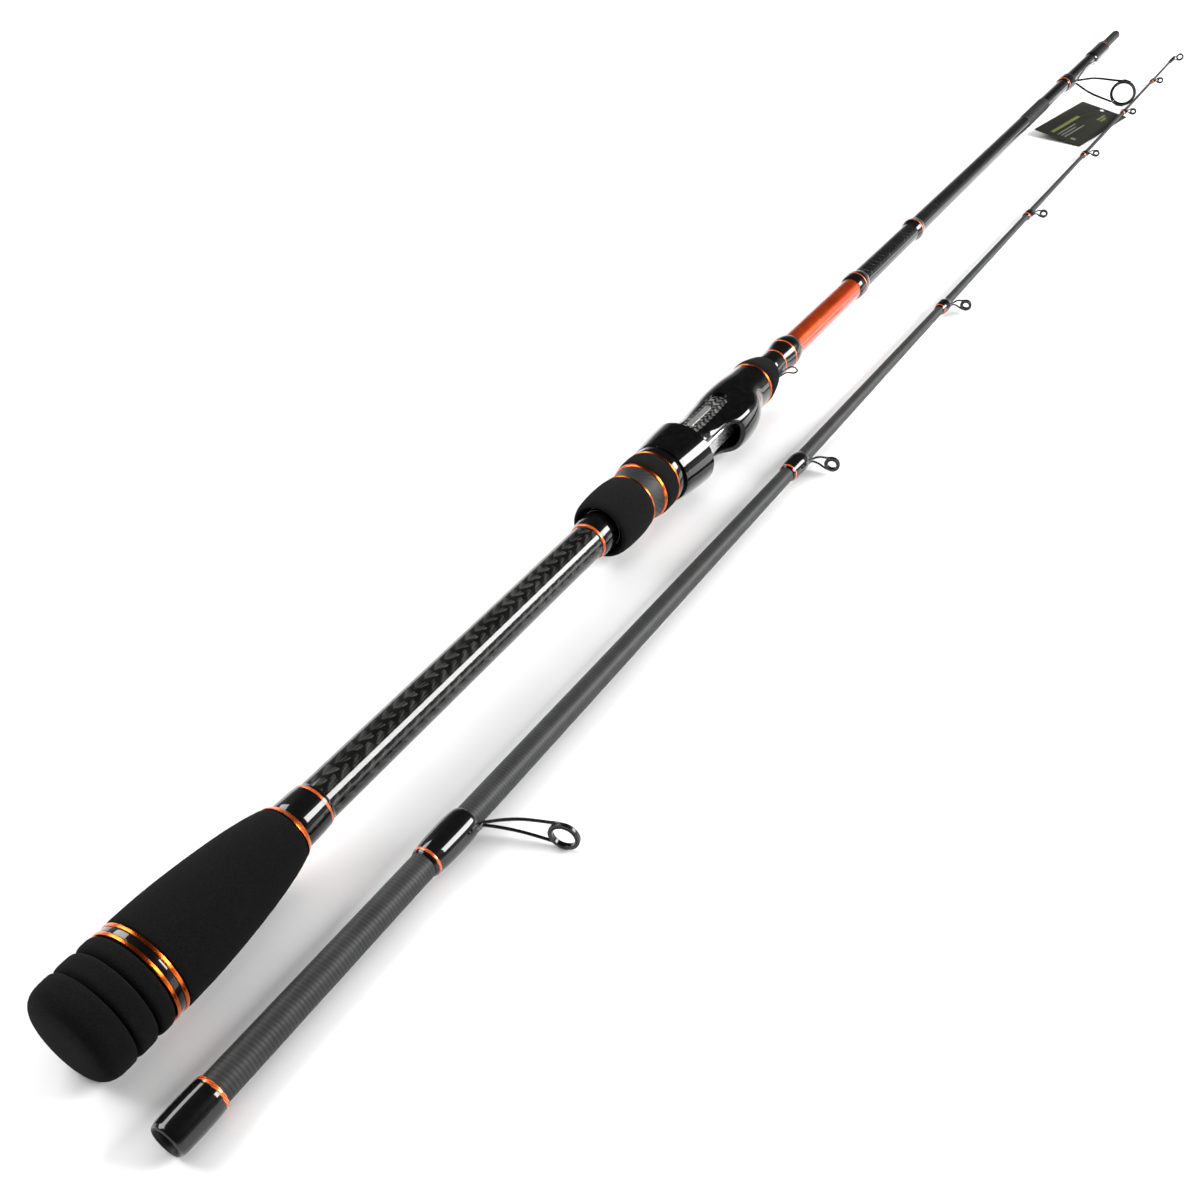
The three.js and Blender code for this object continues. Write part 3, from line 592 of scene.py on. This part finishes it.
# the walls beside the foot bed sweep up into the hood's mouth: (x, height above the rod axis)
MOUTH_SWEEP = [(374, 9.8), (384, 9.8), (392, 10.1), (398, 11.0), (402, 12.6), (405, 15.0), (407.5, 17.8),
               (409, 20.5)]
BED_HALF_WIDTH = 7.2


def lookup(table, x):
    """Smooth value of an (x, value) table."""
    if x <= table[0][0]:
        return table[0][1]
    for i in range(1, len(table)):
        if x <= table[i][0]:
            x1, v1 = table[i - 1]
            x2, v2 = table[i]
            v0 = table[max(i - 2, 0)][1]
            v3 = table[min(i + 1, len(table) - 1)][1]
            return between(v0, v1, v2, v3, (x - x1) / (x2 - x1))
    return table[-1][1]


def seat_radius(x, offset):
    """Radius at an angle off the reel foot direction: a waisted body with a raised fixed hood."""
    waist = lookup(SEAT_WAIST, x)
    spread = min(max((abs(offset) - 26) / 42, 0), 1)
    lobe = math.cos(spread * math.pi / 2) ** 2
    return waist + (HOOD_LEVEL - waist) * lobe * max(lookup(HOOD_RISE, x), 0)


def loft(stations, sides, radius_at):
    """Verts and faces of a closed body with radius_at(x, angle off the reel foot direction)."""
    verts = []
    for x in stations:
        for k in range(sides):
            angle = 360 * k / sides
            offset = angle - 360 if angle > 180 else angle
            r = radius_at(x, offset)
            a = RAD(angle)
            verts.append((x, -r * math.cos(a), r * math.sin(a)))
    faces = outline_faces(len(stations), sides, closed=False)
    faces.append(tuple(range(sides)))
    faces.append(tuple(reversed(range((len(stations) - 1) * sides, len(stations) * sides))))
    return verts, faces


def bridged(first, second):
    """Verts and faces of the solid between two outlines with the same number of points."""
    count = len(first)
    faces = [(k, (k + 1) % count, (k + 1) % count + count, k + count) for k in range(count)]
    faces += [tuple(reversed(range(count))), tuple(range(count, 2 * count))]
    return first + second, faces


def prism(section, x0, x1):
    """Verts and faces of a (out, side) outline pushed along the rod."""
    return bridged(*([(x, -out, side) for out, side in section] for x in (x0, x1)))


def side_profile(outline, half):
    """Verts and faces of an (x, out) outline pushed across the rod, half to either side."""
    points = [outline[0], *curved(outline[1:-2], 6), *outline[-2:]]
    return bridged(*([(x, -out, side) for x, out in points] for side in (-half, half)))


def block(name, shape, matrix=BUTT):
    """A solid that cuts, or is cut, before it becomes a piece."""
    obj = make_object(name, *shape, matrix, GLOSS)
    fix_normals(obj)
    return obj


def foot_arch(low, high, half):
    """Outline of the space for the reel foot: flat bed, upright sides, arched top."""
    steps = 10
    shoulder = high - half * 0.45
    points = [(low, half), (low, -half), (shoulder, -half)]
    for i in range(1, steps):
        a = math.pi * i / steps
        points.append((shoulder + math.sin(a) ** 0.8 * (high - shoulder), -half * math.cos(a)))
    points.append((shoulder, half))
    return points


def stadium(x0, x1, half, low, high):
    """Verts and faces of a window-shaped prism standing across the rod, on +z or -z."""
    steps = 16
    outline = []
    for centre, start in ((x1 - half, -90), (x0 + half, 90)):
        for i in range(steps + 1):
            a = RAD(start + 180 * i / steps)
            outline.append((centre + half * math.cos(a), half * math.sin(a)))
    return bridged(*([(x, y, z) for x, y in outline] for z in (low, high)))


WINDOW = {"x0": 376, "x1": 416, "half": 4.8, "floor": 9.5}


def reel_seat():
    stretches = ((359, 0.75, 58), (402, 0.6, 65), (441, 0.8, 13))
    stations = [start + step * i for start, step, count in stretches for i in range(count)]
    seat = block("seat", loft(stations, 160, seat_radius))
    x0, x1, half, floor = WINDOW.values()
    wide = BED_HALF_WIDTH
    cutters = [
        block("bore", lathe([(350, 0), (350, SEAT_BORE), (460, SEAT_BORE), (460, 0)], 64)),
        block("bed", prism([(BED_LEVEL, wide), (BED_LEVEL, -wide), (30, -wide), (30, wide)], 350, 396)),
        block("above_bed", side_profile([(350, 9.8), *MOUTH_SWEEP, (409, 40), (350, 40)], 30)),
        block("cavity", prism(foot_arch(BED_LEVEL, 16.6, wide), 395, 427)),
        block("window_upper", stadium(x0, x1, half, floor, 20)),
        block("window_lower", stadium(x0, x1, half, -20, -floor)),
    ]
    solidified(seat, cutters, bevel=0.9)
    piece("seat_body", seat, SEAT, ["reel_seat_body"])
    for name, sign in (("upper", 1), ("lower", -1)):
        verts = []
        for i in range(41):
            x = x0 + 0.3 + (x1 - x0 - 0.6) * i / 40
            reach = half - 0.3
            into = min(x - x0 - 0.3, x1 - 0.3 - x)
            width = math.sqrt(max(reach ** 2 - max(reach - into, 0) ** 2, 0.0004))
            for j in range(13):
                y = -width + 2 * width * j / 12
                crown = 10.75 + 0.25 * (1 - (y / reach) ** 2)
                verts.append((x, y, sign * crown))
        top = len(verts)
        verts += [(x, y, sign * floor * 0.99) for x, y, _ in verts]
        faces = []
        for i in range(40):
            for j in range(12):
                a = i * 13 + j
                faces.append((a, a + 1, a + 14, a + 13))
                faces.append((top + a, top + a + 13, top + a + 14, top + a + 1))
        edge = list(range(13)) + [i * 13 + 12 for i in range(1, 41)]
        edge += [40 * 13 + j for j in range(11, -1, -1)] + [i * 13 for i in range(39, 0, -1)]
        for a, b in zip(edge, edge[1:] + edge[:1]):
            faces.append((a, b, b + top, a + top))
        piece(f"window_inlay_{name}", (verts, faces), WINDOW_WEAVE, [f"seat_window_{name}"])
    for name, sign in (("upper", 1), ("lower", -1)):
        plate = make_object("plate", *stadium(382.5, 404, 1.5, 10.7, 11.2), BUTT, SILVER)
        for vertex in plate.data.vertices:
            vertex.co.y += 1.2
            vertex.co.z *= sign
        fix_normals(plate)
        solidified(plate, bevel=0.12)
        piece(f"window_plate_{name}", plate, SILVER)
    low, high = BED_LEVEL - 0.2, BED_LEVEL + 0.55
    rail = [(low, 5.2), (low, -5.2), (high, -4.6), (high, 4.6)]
    piece("foot_bed_rail", solidified(block("rail", prism(rail, 361, 424)), bevel=0.2), BED_PLATE)
    thread = []
    for i in range(22 * 24 + 1):
        a = 2 * math.pi * i / 24
        thread.append((302 + 2.5 * i / 24, -9.55 * math.cos(a), 9.55 * math.sin(a)))
    core = lathe(rounded([(299.8, 8.3), (299.8, 9.5), (358.6, 9.5), (358.6, 8.3)], 0.4))
    piece("thread_barrel_body", merged(core, sweep(thread, 0.62, 10)), GLOSS, ["thread_barrel"])


def sliding_hood():
    rise = [(352.4, 14.5), (354, 14.9), (358, 15.4), (362, 15.8), (366, 16.1), (370, 16.3), (373.5, 16.4)]

    def radius_at(x, offset):
        lobe = max(0, math.cos(RAD(offset))) ** 1.5
        return lookup(rise, x) + (1.0 + 1.2 * (x - 352.4) / 21.1) * lobe

    stations = [352.4 + (373.5 - 352.4) * i / 46 for i in range(47)]
    shell = block("shell", loft(stations, 144, radius_at))
    cutters = [
        block("neck", lathe([(350, 0), (350, 10.6), (360, 10.6), (360, 0)], 64)),
        block("room", lathe([(354.4, 0), (354.4, 13.2), (380, 14.4), (380, 0)], 96)),
        block("slot", prism(foot_arch(BED_LEVEL - 1, 15.4, 7.2), 356, 380)),
    ]
    solidified(shell, cutters, bevel=0.3)
    piece("hood_shell", shell, SEAT, ["sliding_hood"], "hood")


def lock_nut():
    body = "lock_nut"
    bore = 10.6
    curve = curved([(297.3, 12.4), (298.6, 13.5), (302.5, 14.35), (310, 14.8), (317, 14.7), (321, 14.25),
                    (322.9, 13.9)], 8)
    outline = [(303, bore), (301.4, 11.3), (298.6, 11.6), (297.4, 11.9), *curve, (323.0, bore)]
    piece("foam_nut_rear", lathe(outline), FOAM_GREY, ["nut_grip_rear"], body)
    ring("nut_trim_rear", 323.2, 324.4, 14.0, 13.85, ORANGE_METAL, ["nut_ring_rear"], bore, 0.5, body)
    curve = curved([(324.5, 13.55), (328, 13.3), (331, 13.4), (333.3, 13.75)], 6)
    outline = [(324.5, bore), *curve, (333.3, bore)]
    piece("twill_nut_sleeve", lathe(outline), TWILL, ["nut_sleeve"], body)
    ring("nut_trim_middle", 333.4, 335.3, 14.1, 14.4, ORANGE_METAL, ["nut_ring_middle"], bore, 0.6, body)
    outline = rounded([(335.4, bore), (335.4, 14.3), (338, 14.85), (343.4, 14.9), (345.7, 14.5),
                       (345.7, bore)], 0.8)
    piece("foam_nut_front", lathe(outline), FOAM_GREY, ["nut_grip_front"], body)
    ring("nut_trim_front", 345.8, 346.9, 14.7, 14.7, ORANGE_METAL, ["nut_ring_front"], bore, 0.4, body)
    ring("nut_gloss_core", 347.0, 352.0, 14.45, 14.35, SEAT, ["nut_core"], bore, 0.7, body)


# ---------------------------------------------------------------- butt section: front
def blank_outline(table, x0, x1, steps, wall=1.0):
    along = [x0 + (x1 - x0) * i / steps for i in range(steps + 1)]
    outer = [(x, lookup(table, x)) for x in along]
    return [(x0, outer[0][1] - wall)] + outer + [(x1, outer[-1][1] - wall)]


BUTT_TAPER = [(380, 6.9), (503, 6.9), (700, 6.0), (900, 5.4), (1200, 4.9)]


def winding(name, stations, nodes=(), body="butt_section", sides=72, offset=None):
    """A glossy winding with soft shoulders: stations are (x, r)."""
    bore = min(r for _, r in stations) - 0.5
    verts, faces = lathe([(stations[0][0], bore), *curved(stations, 8), (stations[-1][0], bore)], sides)
    if offset:
        verts = [offset(Vector(v)) for v in verts]
    return piece(name, (verts, faces), WINDING, nodes, body)


def fore_section():
    ring("seat_front_trim", 450.8, 452.5, 12.65, 12.55, ORANGE_METAL, ["front_grip_ring"], 8, 0.6)
    curve = curved([(453.2, 12.6), (456, 12.55), (461, 11.5), (466, 10.2), (469, 9.0), (470.4, 8.0)], 8)
    outline = [(452.6, 7), (452.6, 12.2), *curve, (470.6, 7)]
    piece("foam_fore_grip", lathe(outline), FOAM, ["front_grip"])
    winding("fore_winding", [(470.4, 7.5), (473, 7.7), (480.8, 7.55)], ["front_winding"])
    ring("fore_thread_ring_rear", 480.8, 481.9, 7.65, 7.7, ORANGE_THREAD, bore=7)
    winding("fore_winding_middle", [(481.9, 7.7), (485, 7.9), (489, 8.4), (491.6, 8.7)])
    ring("fore_thread_ring_front", 491.6, 492.7, 8.75, 8.85, ORANGE_THREAD, bore=7)
    winding("fore_winding_front", [(492.7, 8.8), (496, 8.85), (500, 8.3), (502.6, 7.4), (503.6, 6.95)])
    zones = [("blank_orange", 499, 594, ORANGE_PAINT), ("blank_weave", 594, 946, BLANK_WEAVE),
             ("blank_matt", 946, 1002, MATT_BAND), ("blank_dark", 1002, 1200, DARK_BLANK)]
    for i, (name, x0, x1, material) in enumerate(zones):
        outline = blank_outline(BUTT_TAPER, x0, x1, 24)
        piece(name, lathe(outline, 64), material, ["butt_blank"] if i == 0 else ())
    piece("blank_in_handle", lathe(blank_outline(BUTT_TAPER, 450, 499, 4), 64), DARK_BLANK)
    r = lookup(BUTT_TAPER, 595)
    stations = [(589.5, r + 0.3), (592, r + 1.0), (598, r + 1.25), (602, r + 0.8), (604.5, r + 0.15)]
    winding("paint_end_winding", stations, ["orange_end_winding"])
    ring("paint_end_thread", 596.6, 597.7, r + 1.32, r + 1.32, ORANGE_THREAD, bore=r)
    r = lookup(BUTT_TAPER, 698)
    stations = [(690.5, r + 0.15), (694, r + 1.1), (697, r + 1.35), (700, r + 0.9), (702.5, r + 0.15)]
    winding("weave_winding", stations, ["blank_joint_winding"])
    ring("weave_winding_thread", 695.6, 696.9, r + 1.38, r + 1.4, ORANGE_THREAD, bore=r)
    spigot = rounded([(1150, 0), (1150, 3.98), (1200, 3.95), (1248.6, 3.85), (1250, 3.2), (1250, 0)], 0.5)
    piece("spigot_plug", lathe(spigot, 64), SPIGOT_GREY, ["spigot"])


def hook_keeper():
    half = [(472, -8.2, 0.7), (476, -8.5, 1.0), (479, -9.1, 1.3), (480.8, -10.4, 1.8), (481.6, -12.1, 1.7),
            (481.95, -13.3, 0.8)]
    path = spline([*half, (482.05, -13.65, 0), *[(x, y, -z) for x, y, z in reversed(half)]], 8)
    piece("keeper_wire", sweep(path, 0.45, 12), WIRE, ["hook_keeper"])


# ---------------------------------------------------------------- guides
def hoop(x, height, inner, outer, width, lean, edge=0.35, sides=64):
    """Verts and faces of a rounded ring standing across the rod."""
    half = width / 2
    start = (-half, (inner + outer) / 2)
    profile = [start, (-half, outer), (half, outer), (half, inner), (-half, inner), start]
    verts, faces = lathe(rounded(profile, edge)[:-1], sides)
    turn = Matrix.Rotation(RAD(lean), 3, "Z")
    moved = []
    for v in verts:
        p = turn @ Vector(v)
        moved.append((p.x + x, p.y - height, p.z))
    return moved, faces


def foot_bulge(x_foot, radius, amount, start):
    """Moves a wrap's surface outwards on the guide side, where the foot lies under it."""
    def move(v):
        around = math.hypot(v.y, v.z)
        toward = max(0.0, -v.y / around) ** 4 if around else 0.0
        along = min(max((v.x - start) / max(x_foot - start, 1e-6), 0), 1)
        lift = amount * toward * along ** 0.7
        scale = (around + (lift if around > radius else 0)) / around
        return (v.x, v.y * scale, v.z * scale)
    return move


# letter, start of the wrap, end of the foot, ring's middle, its height over the axis, its radius
TIP_GUIDES = [
    ("a", 116, 141, 152, 33, 6.0),
    ("b", 403.5, 422, 424.5, 15, 3.9),
    ("c", 619, 633, 635.5, 11.2, 3.4),
    ("d", 793, 805, 807, 8.6, 2.8),
    ("e", 939, 950, 952, 7.2, 2.6),
    ("f", 1061, 1071, 1073, 6.5, 2.6),
    ("g", 1165, 1174.5, 1176.5, 5.6, 2.6),
]
TIP_LENGTH = 1255.2
TIP_TAPER = [(0, 5.55), (144, 5.0), (426, 3.6), (639, 2.5), (813, 1.95), (950, 1.45), (TIP_LENGTH, 0.85)]


def straight_lookup(table, x):
    for (x0, v0), (x1, v1) in zip(table, table[1:]):
        if x <= x1:
            return v0 + (v1 - v0) * (max(x, x0) - x0) / (x1 - x0)
    return table[-1][1]


def tip_guide(guide):
    letter, wrap, foot, centre, height, radius = guide
    body = "tip_section"
    blank = straight_lookup(TIP_TAPER, wrap)
    seat = blank + 0.3
    wire = 0.62 if radius > 4 else 0.5
    side = radius - wire * 0.8
    legs = []
    for s in (1, -1):
        path = spline([(foot - 6, -seat - 0.5, s * 0.5), (foot - 1, -seat - 0.7, s * 0.6),
                       (foot + 1, -seat - 1.5, s * 0.9),
                       ((foot + centre) / 2 + 1, -(seat + height - radius) / 2 - 0.5, s * side * 0.56),
                       (centre - 0.6, -(height - radius * 0.75), s * side * 0.86),
                       (centre - 0.1, -height + radius * 0.2, s * side),
                       (centre + 0.1, -height - radius * 0.3, s * side * 0.95)], 6)
        legs.append(sweep(path, wire, 12))
    band = 1.1 if radius > 3 else 0.8
    frame_ring = hoop(centre, height, radius - band, radius, 1.7, 12)
    piece(f"guide_{letter}_wire", merged(frame_ring, *legs), WIRE, [f"guide_{letter}_frame"], body)
    insert = hoop(centre, height, radius - band - 0.6, radius - band + 0.1, 2.1, 12, 0.25)
    node = f"guide_{letter}_insert"
    piece(f"guide_{letter}_ring", insert, CERAMIC, [node] if node in frame["nodes"] else (), body)
    end = foot - 2
    length = end - wrap
    full = seat + (0.9 if radius > 3 else 0.55)
    stations = [(wrap, seat - 0.1), (wrap + 1.2, seat + 0.35), (wrap + length * 0.3, full),
                (wrap + length * 0.7, full + 0.1), (end - 2, full - 0.15), (end, seat + 0.3),
                (end + 0.8, seat - 0.1)]
    winding(f"guide_{letter}_winding", stations, [f"guide_{letter}_wrap"], body,
            offset=foot_bulge(foot, seat - 0.05, 0.5, wrap + 3))
    x = wrap + 1.2
    r = seat + 0.5
    ring(f"guide_{letter}_thread", x, x + 1.1, r, r + 0.08, ORANGE_THREAD, bore=blank, edge=0.2, body=body)


STRIPPING = {"foot": 1067, "lead": 1081, "ring": 1082.5, "front": 1148, "height": 46.5, "radius": 10.3}


def stripping_guide():
    foot, lead, centre, front, height, radius = STRIPPING.values()
    blank = straight_lookup(BUTT_TAPER, foot)
    seat = blank + 0.3
    legs = []
    for s in (1, -1):
        path = spline([(lead - 8, -seat - 0.5, s * 0.7), (lead - 2, -seat - 0.9, s * 0.9),
                       (lead, -seat - 2.4, s * 1.5),
                       (lead + 1, -(seat + height - radius) * 0.5, s * radius * 0.6),
                       (centre - 0.5, -(height - radius * 0.62), s * radius * 0.86),
                       (centre - 0.1, -height + radius * 0.15, s * (radius - 0.1)),
                       (centre + 0.2, -height - radius * 0.3, s * radius * 0.93)], 8)
        legs.append(sweep(path, 0.85, 12))
    frame_ring = hoop(centre, height, radius - 1.2, radius, 1.9, 8, 0.5, 96)
    piece("stripping_wire", merged(frame_ring, *legs), WIRE, ["stripping_guide_frame"])
    insert = hoop(centre, height, radius - 2.3, radius - 1.1, 2.4, 8, 0.5, 96)
    piece("stripping_ring", insert, CERAMIC, ["stripping_guide_insert"])
    brace = spline([(front + 8, -seat - 0.5, 0), (front, -seat - 0.9, 0.3), (front - 14, -seat - 1.1, 3.2),
                    (front - 36, -seat - 0.6, 4.6), (lead + 12, -seat - 1.2, 3.2),
                    (lead - 1, -seat - 1.6, 1.4)], 8)
    piece("stripping_brace", sweep(brace, 0.8, 12), BRACE)
    rear = foot - 6
    stations = [(rear, seat), (rear + 1.5, seat + 0.5), (rear + 6, seat + 1.0), (lead - 5, seat + 1.0),
                (lead - 3, seat + 0.6), (lead - 2.2, seat)]
    winding("stripping_winding_rear", stations, ["stripping_wrap_rear"],
            offset=foot_bulge(foot + 5, seat - 0.05, 1.1, rear + 2))
    ring("stripping_thread_rear", rear + 1.8, rear + 3.0, seat + 0.75, seat + 0.85, ORANGE_THREAD,
         bore=blank)
    far = straight_lookup(BUTT_TAPER, front) + 0.3
    stations = [(front + 4, far), (front + 8, far + 0.5), (front + 20, far + 0.6), (1190, far + 0.6),
                (1197, far + 0.5), (1199, far)]
    winding("stripping_winding_front", stations, ["stripping_wrap_front"],
            offset=foot_bulge(front + 6, far - 0.05, 1.0, front + 4))
    ring("stripping_thread_front", 1193, 1194.2, far + 0.7, far + 0.68, ORANGE_THREAD, bore=far - 0.5)


# ---------------------------------------------------------------- tip section
def tip_section():
    body = "tip_section"
    outer = [(TIP_LENGTH * i / 160, straight_lookup(TIP_TAPER, TIP_LENGTH * i / 160)) for i in range(161)]
    bore = [(500, 0), (480, 1.6), (82, 3.4), (75, 4.3), (1.5, 4.3), (0, 4.95)]
    outline = bore + outer + [(TIP_LENGTH, 0)]
    piece("tip_blank_tube", lathe(outline, 64), TIP_BLANK, ["tip_blank"], body)
    winding("ferrule_barrel", [(0.1, 5.5), (0.5, 6.0), (2.5, 6.4), (9, 6.55), (15, 6.45), (17, 6.3)],
            ["ferrule_winding"], body, sides=96)
    ring("ferrule_thread", 16.9, 18.4, 6.35, 6.2, ORANGE_THREAD, bore=5.3, body=body)
    for guide in TIP_GUIDES:
        tip_guide(guide)
    end = TIP_LENGTH
    centre, height, radius = end + 8, 4.2, 3.3
    tube_bore = straight_lookup(TIP_TAPER, end - 14) + 0.1
    tube_outer = tube_bore + 0.65
    tube = lathe(rounded([(end - 14, tube_bore), (end - 14, tube_outer), (end + 2, tube_outer),
                          (end + 2, tube_bore)], 0.2), 32)
    legs = []
    for s in (1, -1):
        path = spline([(end - 6, -tube_bore - 0.2, s * 0.8), (end + 2, -tube_bore - 0.5, s * 1.5),
                       (centre - 0.4, -height + 0.4, s * (radius - 0.35))], 6)
        legs.append(sweep(path, 0.42, 10))
    top = merged(tube, hoop(centre, height, radius - 0.8, radius, 1.5, 20, 0.3), *legs)
    piece("tip_top_wire", top, WIRE, ["tip_top_frame"], body)
    insert = hoop(centre, height, radius - 1.6, radius - 0.7, 1.8, 20, 0.3)
    piece("tip_top_ring", insert, CERAMIC, ["tip_top_insert"], body)


# ---------------------------------------------------------------- hang tag
TAG = {"x": 1022, "y": -29.5, "length": 95, "width": 40, "thickness": 0.4,
       "yaw": -9, "tilt": 7, "hole_inset": 5}
SURFACE = butt_start - Vector((0, 0, AXIS_HEIGHT * MM))


def tag_matrix():
    lift = 0.1 + TAG["width"] / 2 * math.sin(RAD(TAG["tilt"]))
    centre = SURFACE + Vector((TAG["x"], TAG["y"], lift)) * MM
    turn = Matrix.Rotation(RAD(TAG["yaw"]), 4, "Z") @ Matrix.Rotation(RAD(TAG["tilt"]), 4, "X")
    return Matrix.Translation(centre) @ turn @ Matrix.Scale(MM, 4)


def bar(shader, x, y, box):
    """1 inside a box (x0, x1, y0, y1) of the card, 0 outside."""
    x0, x1, y0, y1 = box
    inside_x = shader.math("MULTIPLY", shader.math("GREATER_THAN", x, x0), shader.math("LESS_THAN", x, x1))
    inside_y = shader.math("MULTIPLY", shader.math("GREATER_THAN", y, y0), shader.math("LESS_THAN", y, y1))
    return shader.math("MULTIPLY", inside_x, inside_y)


def printed_card():
    """Dark olive card printed with plain bars."""
    s = Shader("tag_card", (0.012, 0.012, 0.008), 0.5, coat=0.15, coat_roughness=0.3, specular=0.3)
    x, y, _, _ = s.place()
    grain = s.noise(1.2, 3.0)
    colour = s.ramp(grain, [(0.3, (0.009, 0.0095, 0.006)), (0.7, (0.014, 0.014, 0.009))])
    lime, pale = (0.1, 0.11, 0.035), (0.1, 0.1, 0.095)
    bars = [(lime, (-40, 12, 6.2, 9.0)), (pale, (-40, -6, 1.8, 3.0)), (pale, (-40, -12, -1.2, 0.0)),
            (pale, (-40, -2, -4.2, -3.0)), (lime, (18, 34, -7, -5.4)), (lime, (18, 29, -10, -8.4)),
            (pale, (-40, -36, -12, -8))]
    for ink, box in bars:
        colour = s.mix(bar(s, x, y, box), colour, ink)
    s.to("Base Color", colour)
    s.bump(grain, 0.02, 0.2)
    return s.material


def clear_plastic():
    s = Shader("clear_nylon", (0.9, 0.92, 0.9), 0.12)
    s.set("Transmission Weight", 0.85)
    s.set("IOR", 1.5)
    s.to("Roughness", s.ramp(s.noise(1.5), [(0.3, grey(0.08)), (0.7, grey(0.2))]))
    return s.material


def hang_tag():
    length, width, thickness = TAG["length"], TAG["width"], TAG["thickness"]
    card_matrix = tag_matrix()
    low, high = 0.02, thickness - 0.02
    corner = 1.2
    outline = []
    reach_x, reach_y = length / 2 - corner, width / 2 - corner
    for cx, cy, start in ((reach_x, reach_y, 0), (-reach_x, reach_y, 90),
                          (-reach_x, -reach_y, 180), (reach_x, -reach_y, 270)):
        for i in range(7):
            a = RAD(start + 15 * i)
            outline.append((cx + corner * math.cos(a), cy + corner * math.sin(a)))
    card = block("card", bridged(*([(x, y, z) for x, y in outline] for z in (low, high))), card_matrix)
    hole_x = length / 2 - TAG["hole_inset"]
    circle = [(hole_x + 2 * math.cos(RAD(10 * k)), 2 * math.sin(RAD(10 * k))) for k in range(36)]
    punch = block("punch", bridged(*([(x, y, z) for x, y in circle] for z in (-1, 2))), card_matrix)
    solidified(card, [punch], bevel=0.06)
    piece("printed_tag", card, TAG_CARD, ["hang_tag"], matrix=card_matrix)

    to_mm = card_matrix.inverted()
    ring_centre = Vector((STRIPPING["ring"], -STRIPPING["height"] * math.cos(GUIDE_ROLL),
                          AXIS_HEIGHT - STRIPPING["height"] * math.sin(GUIDE_ROLL)))
    radius = STRIPPING["radius"]

    def rim(along, out):
        """A point on the low, near side of the stripping guide's ring, in card millimetres."""
        point = ring_centre + Vector((along, out * math.sqrt(0.5), -out * math.sqrt(0.5)))
        return to_mm @ (SURFACE + point * MM)

    path = [(hole_x, 0, -0.6), (hole_x, 0, 2.2), (hole_x + 7, -1.5, 4.4), rim(-5, radius - 6),
            rim(0, radius - 5.4), rim(3.4, radius - 1.5), rim(2.6, radius + 2.2), rim(-4, radius + 2.6),
            (hole_x + 7, -0.5, 0.4), (hole_x + 3, 0, -1.1), (hole_x + 1, 0, -1.3)]
    looped = spline([path[-1], *path, path[0], path[1]], 8)[8:-8]
    piece("nylon_loop", sweep(looped[:-1], 0.3, 12, closed=True), NYLON, ["tag_loop"], matrix=card_matrix)


TAG_CARD = printed_card()
NYLON = clear_plastic()

rear_handle()
reel_seat()
sliding_hood()
lock_nut()
fore_section()
hook_keeper()
stripping_guide()
tip_section()
hang_tag()

# ---------------------------------------------------------------- surface, camera and light
floor_paint = Shader("floor_paint", grey(0.86), 0.6)
floor_tone = floor_paint.ramp(floor_paint.noise(0.02), [(0.3, grey(0.84)), (0.7, grey(0.88))])
floor_paint.to("Base Color", floor_tone)
floor_corners = [(-4000, -4000, 0), (4000, -4000, 0), (4000, 4000, 0), (-4000, 4000, 0)]
floor_place = Matrix.Translation((0, 0, GROUND - 0.0002)) @ Matrix.Scale(MM, 4)
floor = make_object("floor", floor_corners, [(0, 1, 2, 3)], floor_place, floor_paint.material, smooth=False)
settle(floor, floor_place)

camera_data = bpy.data.cameras.new("camera")
camera_data.sensor_width = 36
camera_data.lens = 38.25
camera_data.clip_start = 0.01
camera = bpy.data.objects.new("camera", camera_data)
bpy.context.scene.collection.objects.link(camera)
right = Vector((0.513, -0.858, 0.004))
up = Vector((0.530, 0.320, 0.785))
forward = Vector((0.675, 0.400, -0.620))
pose = Matrix((right, up, -forward)).transposed().to_quaternion().to_matrix().to_4x4()
camera.matrix_world = Matrix.Translation(butt_start + Vector((-99.1, -236.2, 325.9)) * MM) @ pose
bpy.context.scene.camera = camera


def softbox(name, target, direction, distance, width, height, watts):
    """An area light seen from target in the given direction, facing it."""
    light = bpy.data.lights.new(name, "AREA")
    light.shape = "RECTANGLE"
    light.size, light.size_y = width, height
    light.energy = watts
    obj = bpy.data.objects.new(name, light)
    bpy.context.scene.collection.objects.link(obj)
    away = Vector(direction).normalized()
    turn = away.to_track_quat("Z", "Y").to_matrix().to_4x4()
    obj.matrix_world = Matrix.Translation(Vector(target) + away * distance) @ turn
    return obj


softbox("key_light", (0, 0, 0), (-0.25, 0.75, 0.62), 1.9, 1.7, 1.1, 44)
softbox("edge_light", (0.78, 0, 0), (0, -0.82, 0.57), 1.36, 1.6, 0.6, 58)
fill = softbox("fill_light", (0, 0, 0), (0, 0.1, 1), 3.2, 4.5, 3.5, 70)
fill.visible_glossy = False

world = bpy.data.worlds.new("studio")
world.use_nodes = True
bpy.context.scene.world = world
world_nodes = world.node_tree.nodes
sky = world_nodes.new("ShaderNodeValToRGB")
for element, position, value in zip(sky.color_ramp.elements, (0.0, 0.3), (1, 0.03)):
    element.position = position
    element.color = (*grey(value), 1)
direction = world_nodes.new("ShaderNodeTexCoord")
heights = world_nodes.new("ShaderNodeSeparateXYZ")
world.node_tree.links.new(direction.outputs["Generated"], heights.inputs[0])
world.node_tree.links.new(heights.outputs["Z"], sky.inputs["Fac"])
world.node_tree.links.new(sky.outputs["Color"], world_nodes["Background"].inputs["Color"])
world_nodes["Background"].inputs["Strength"].default_value = 0.6

bpy.context.scene.view_settings.view_transform = "Standard"
bpy.context.scene.view_settings.look = "None"
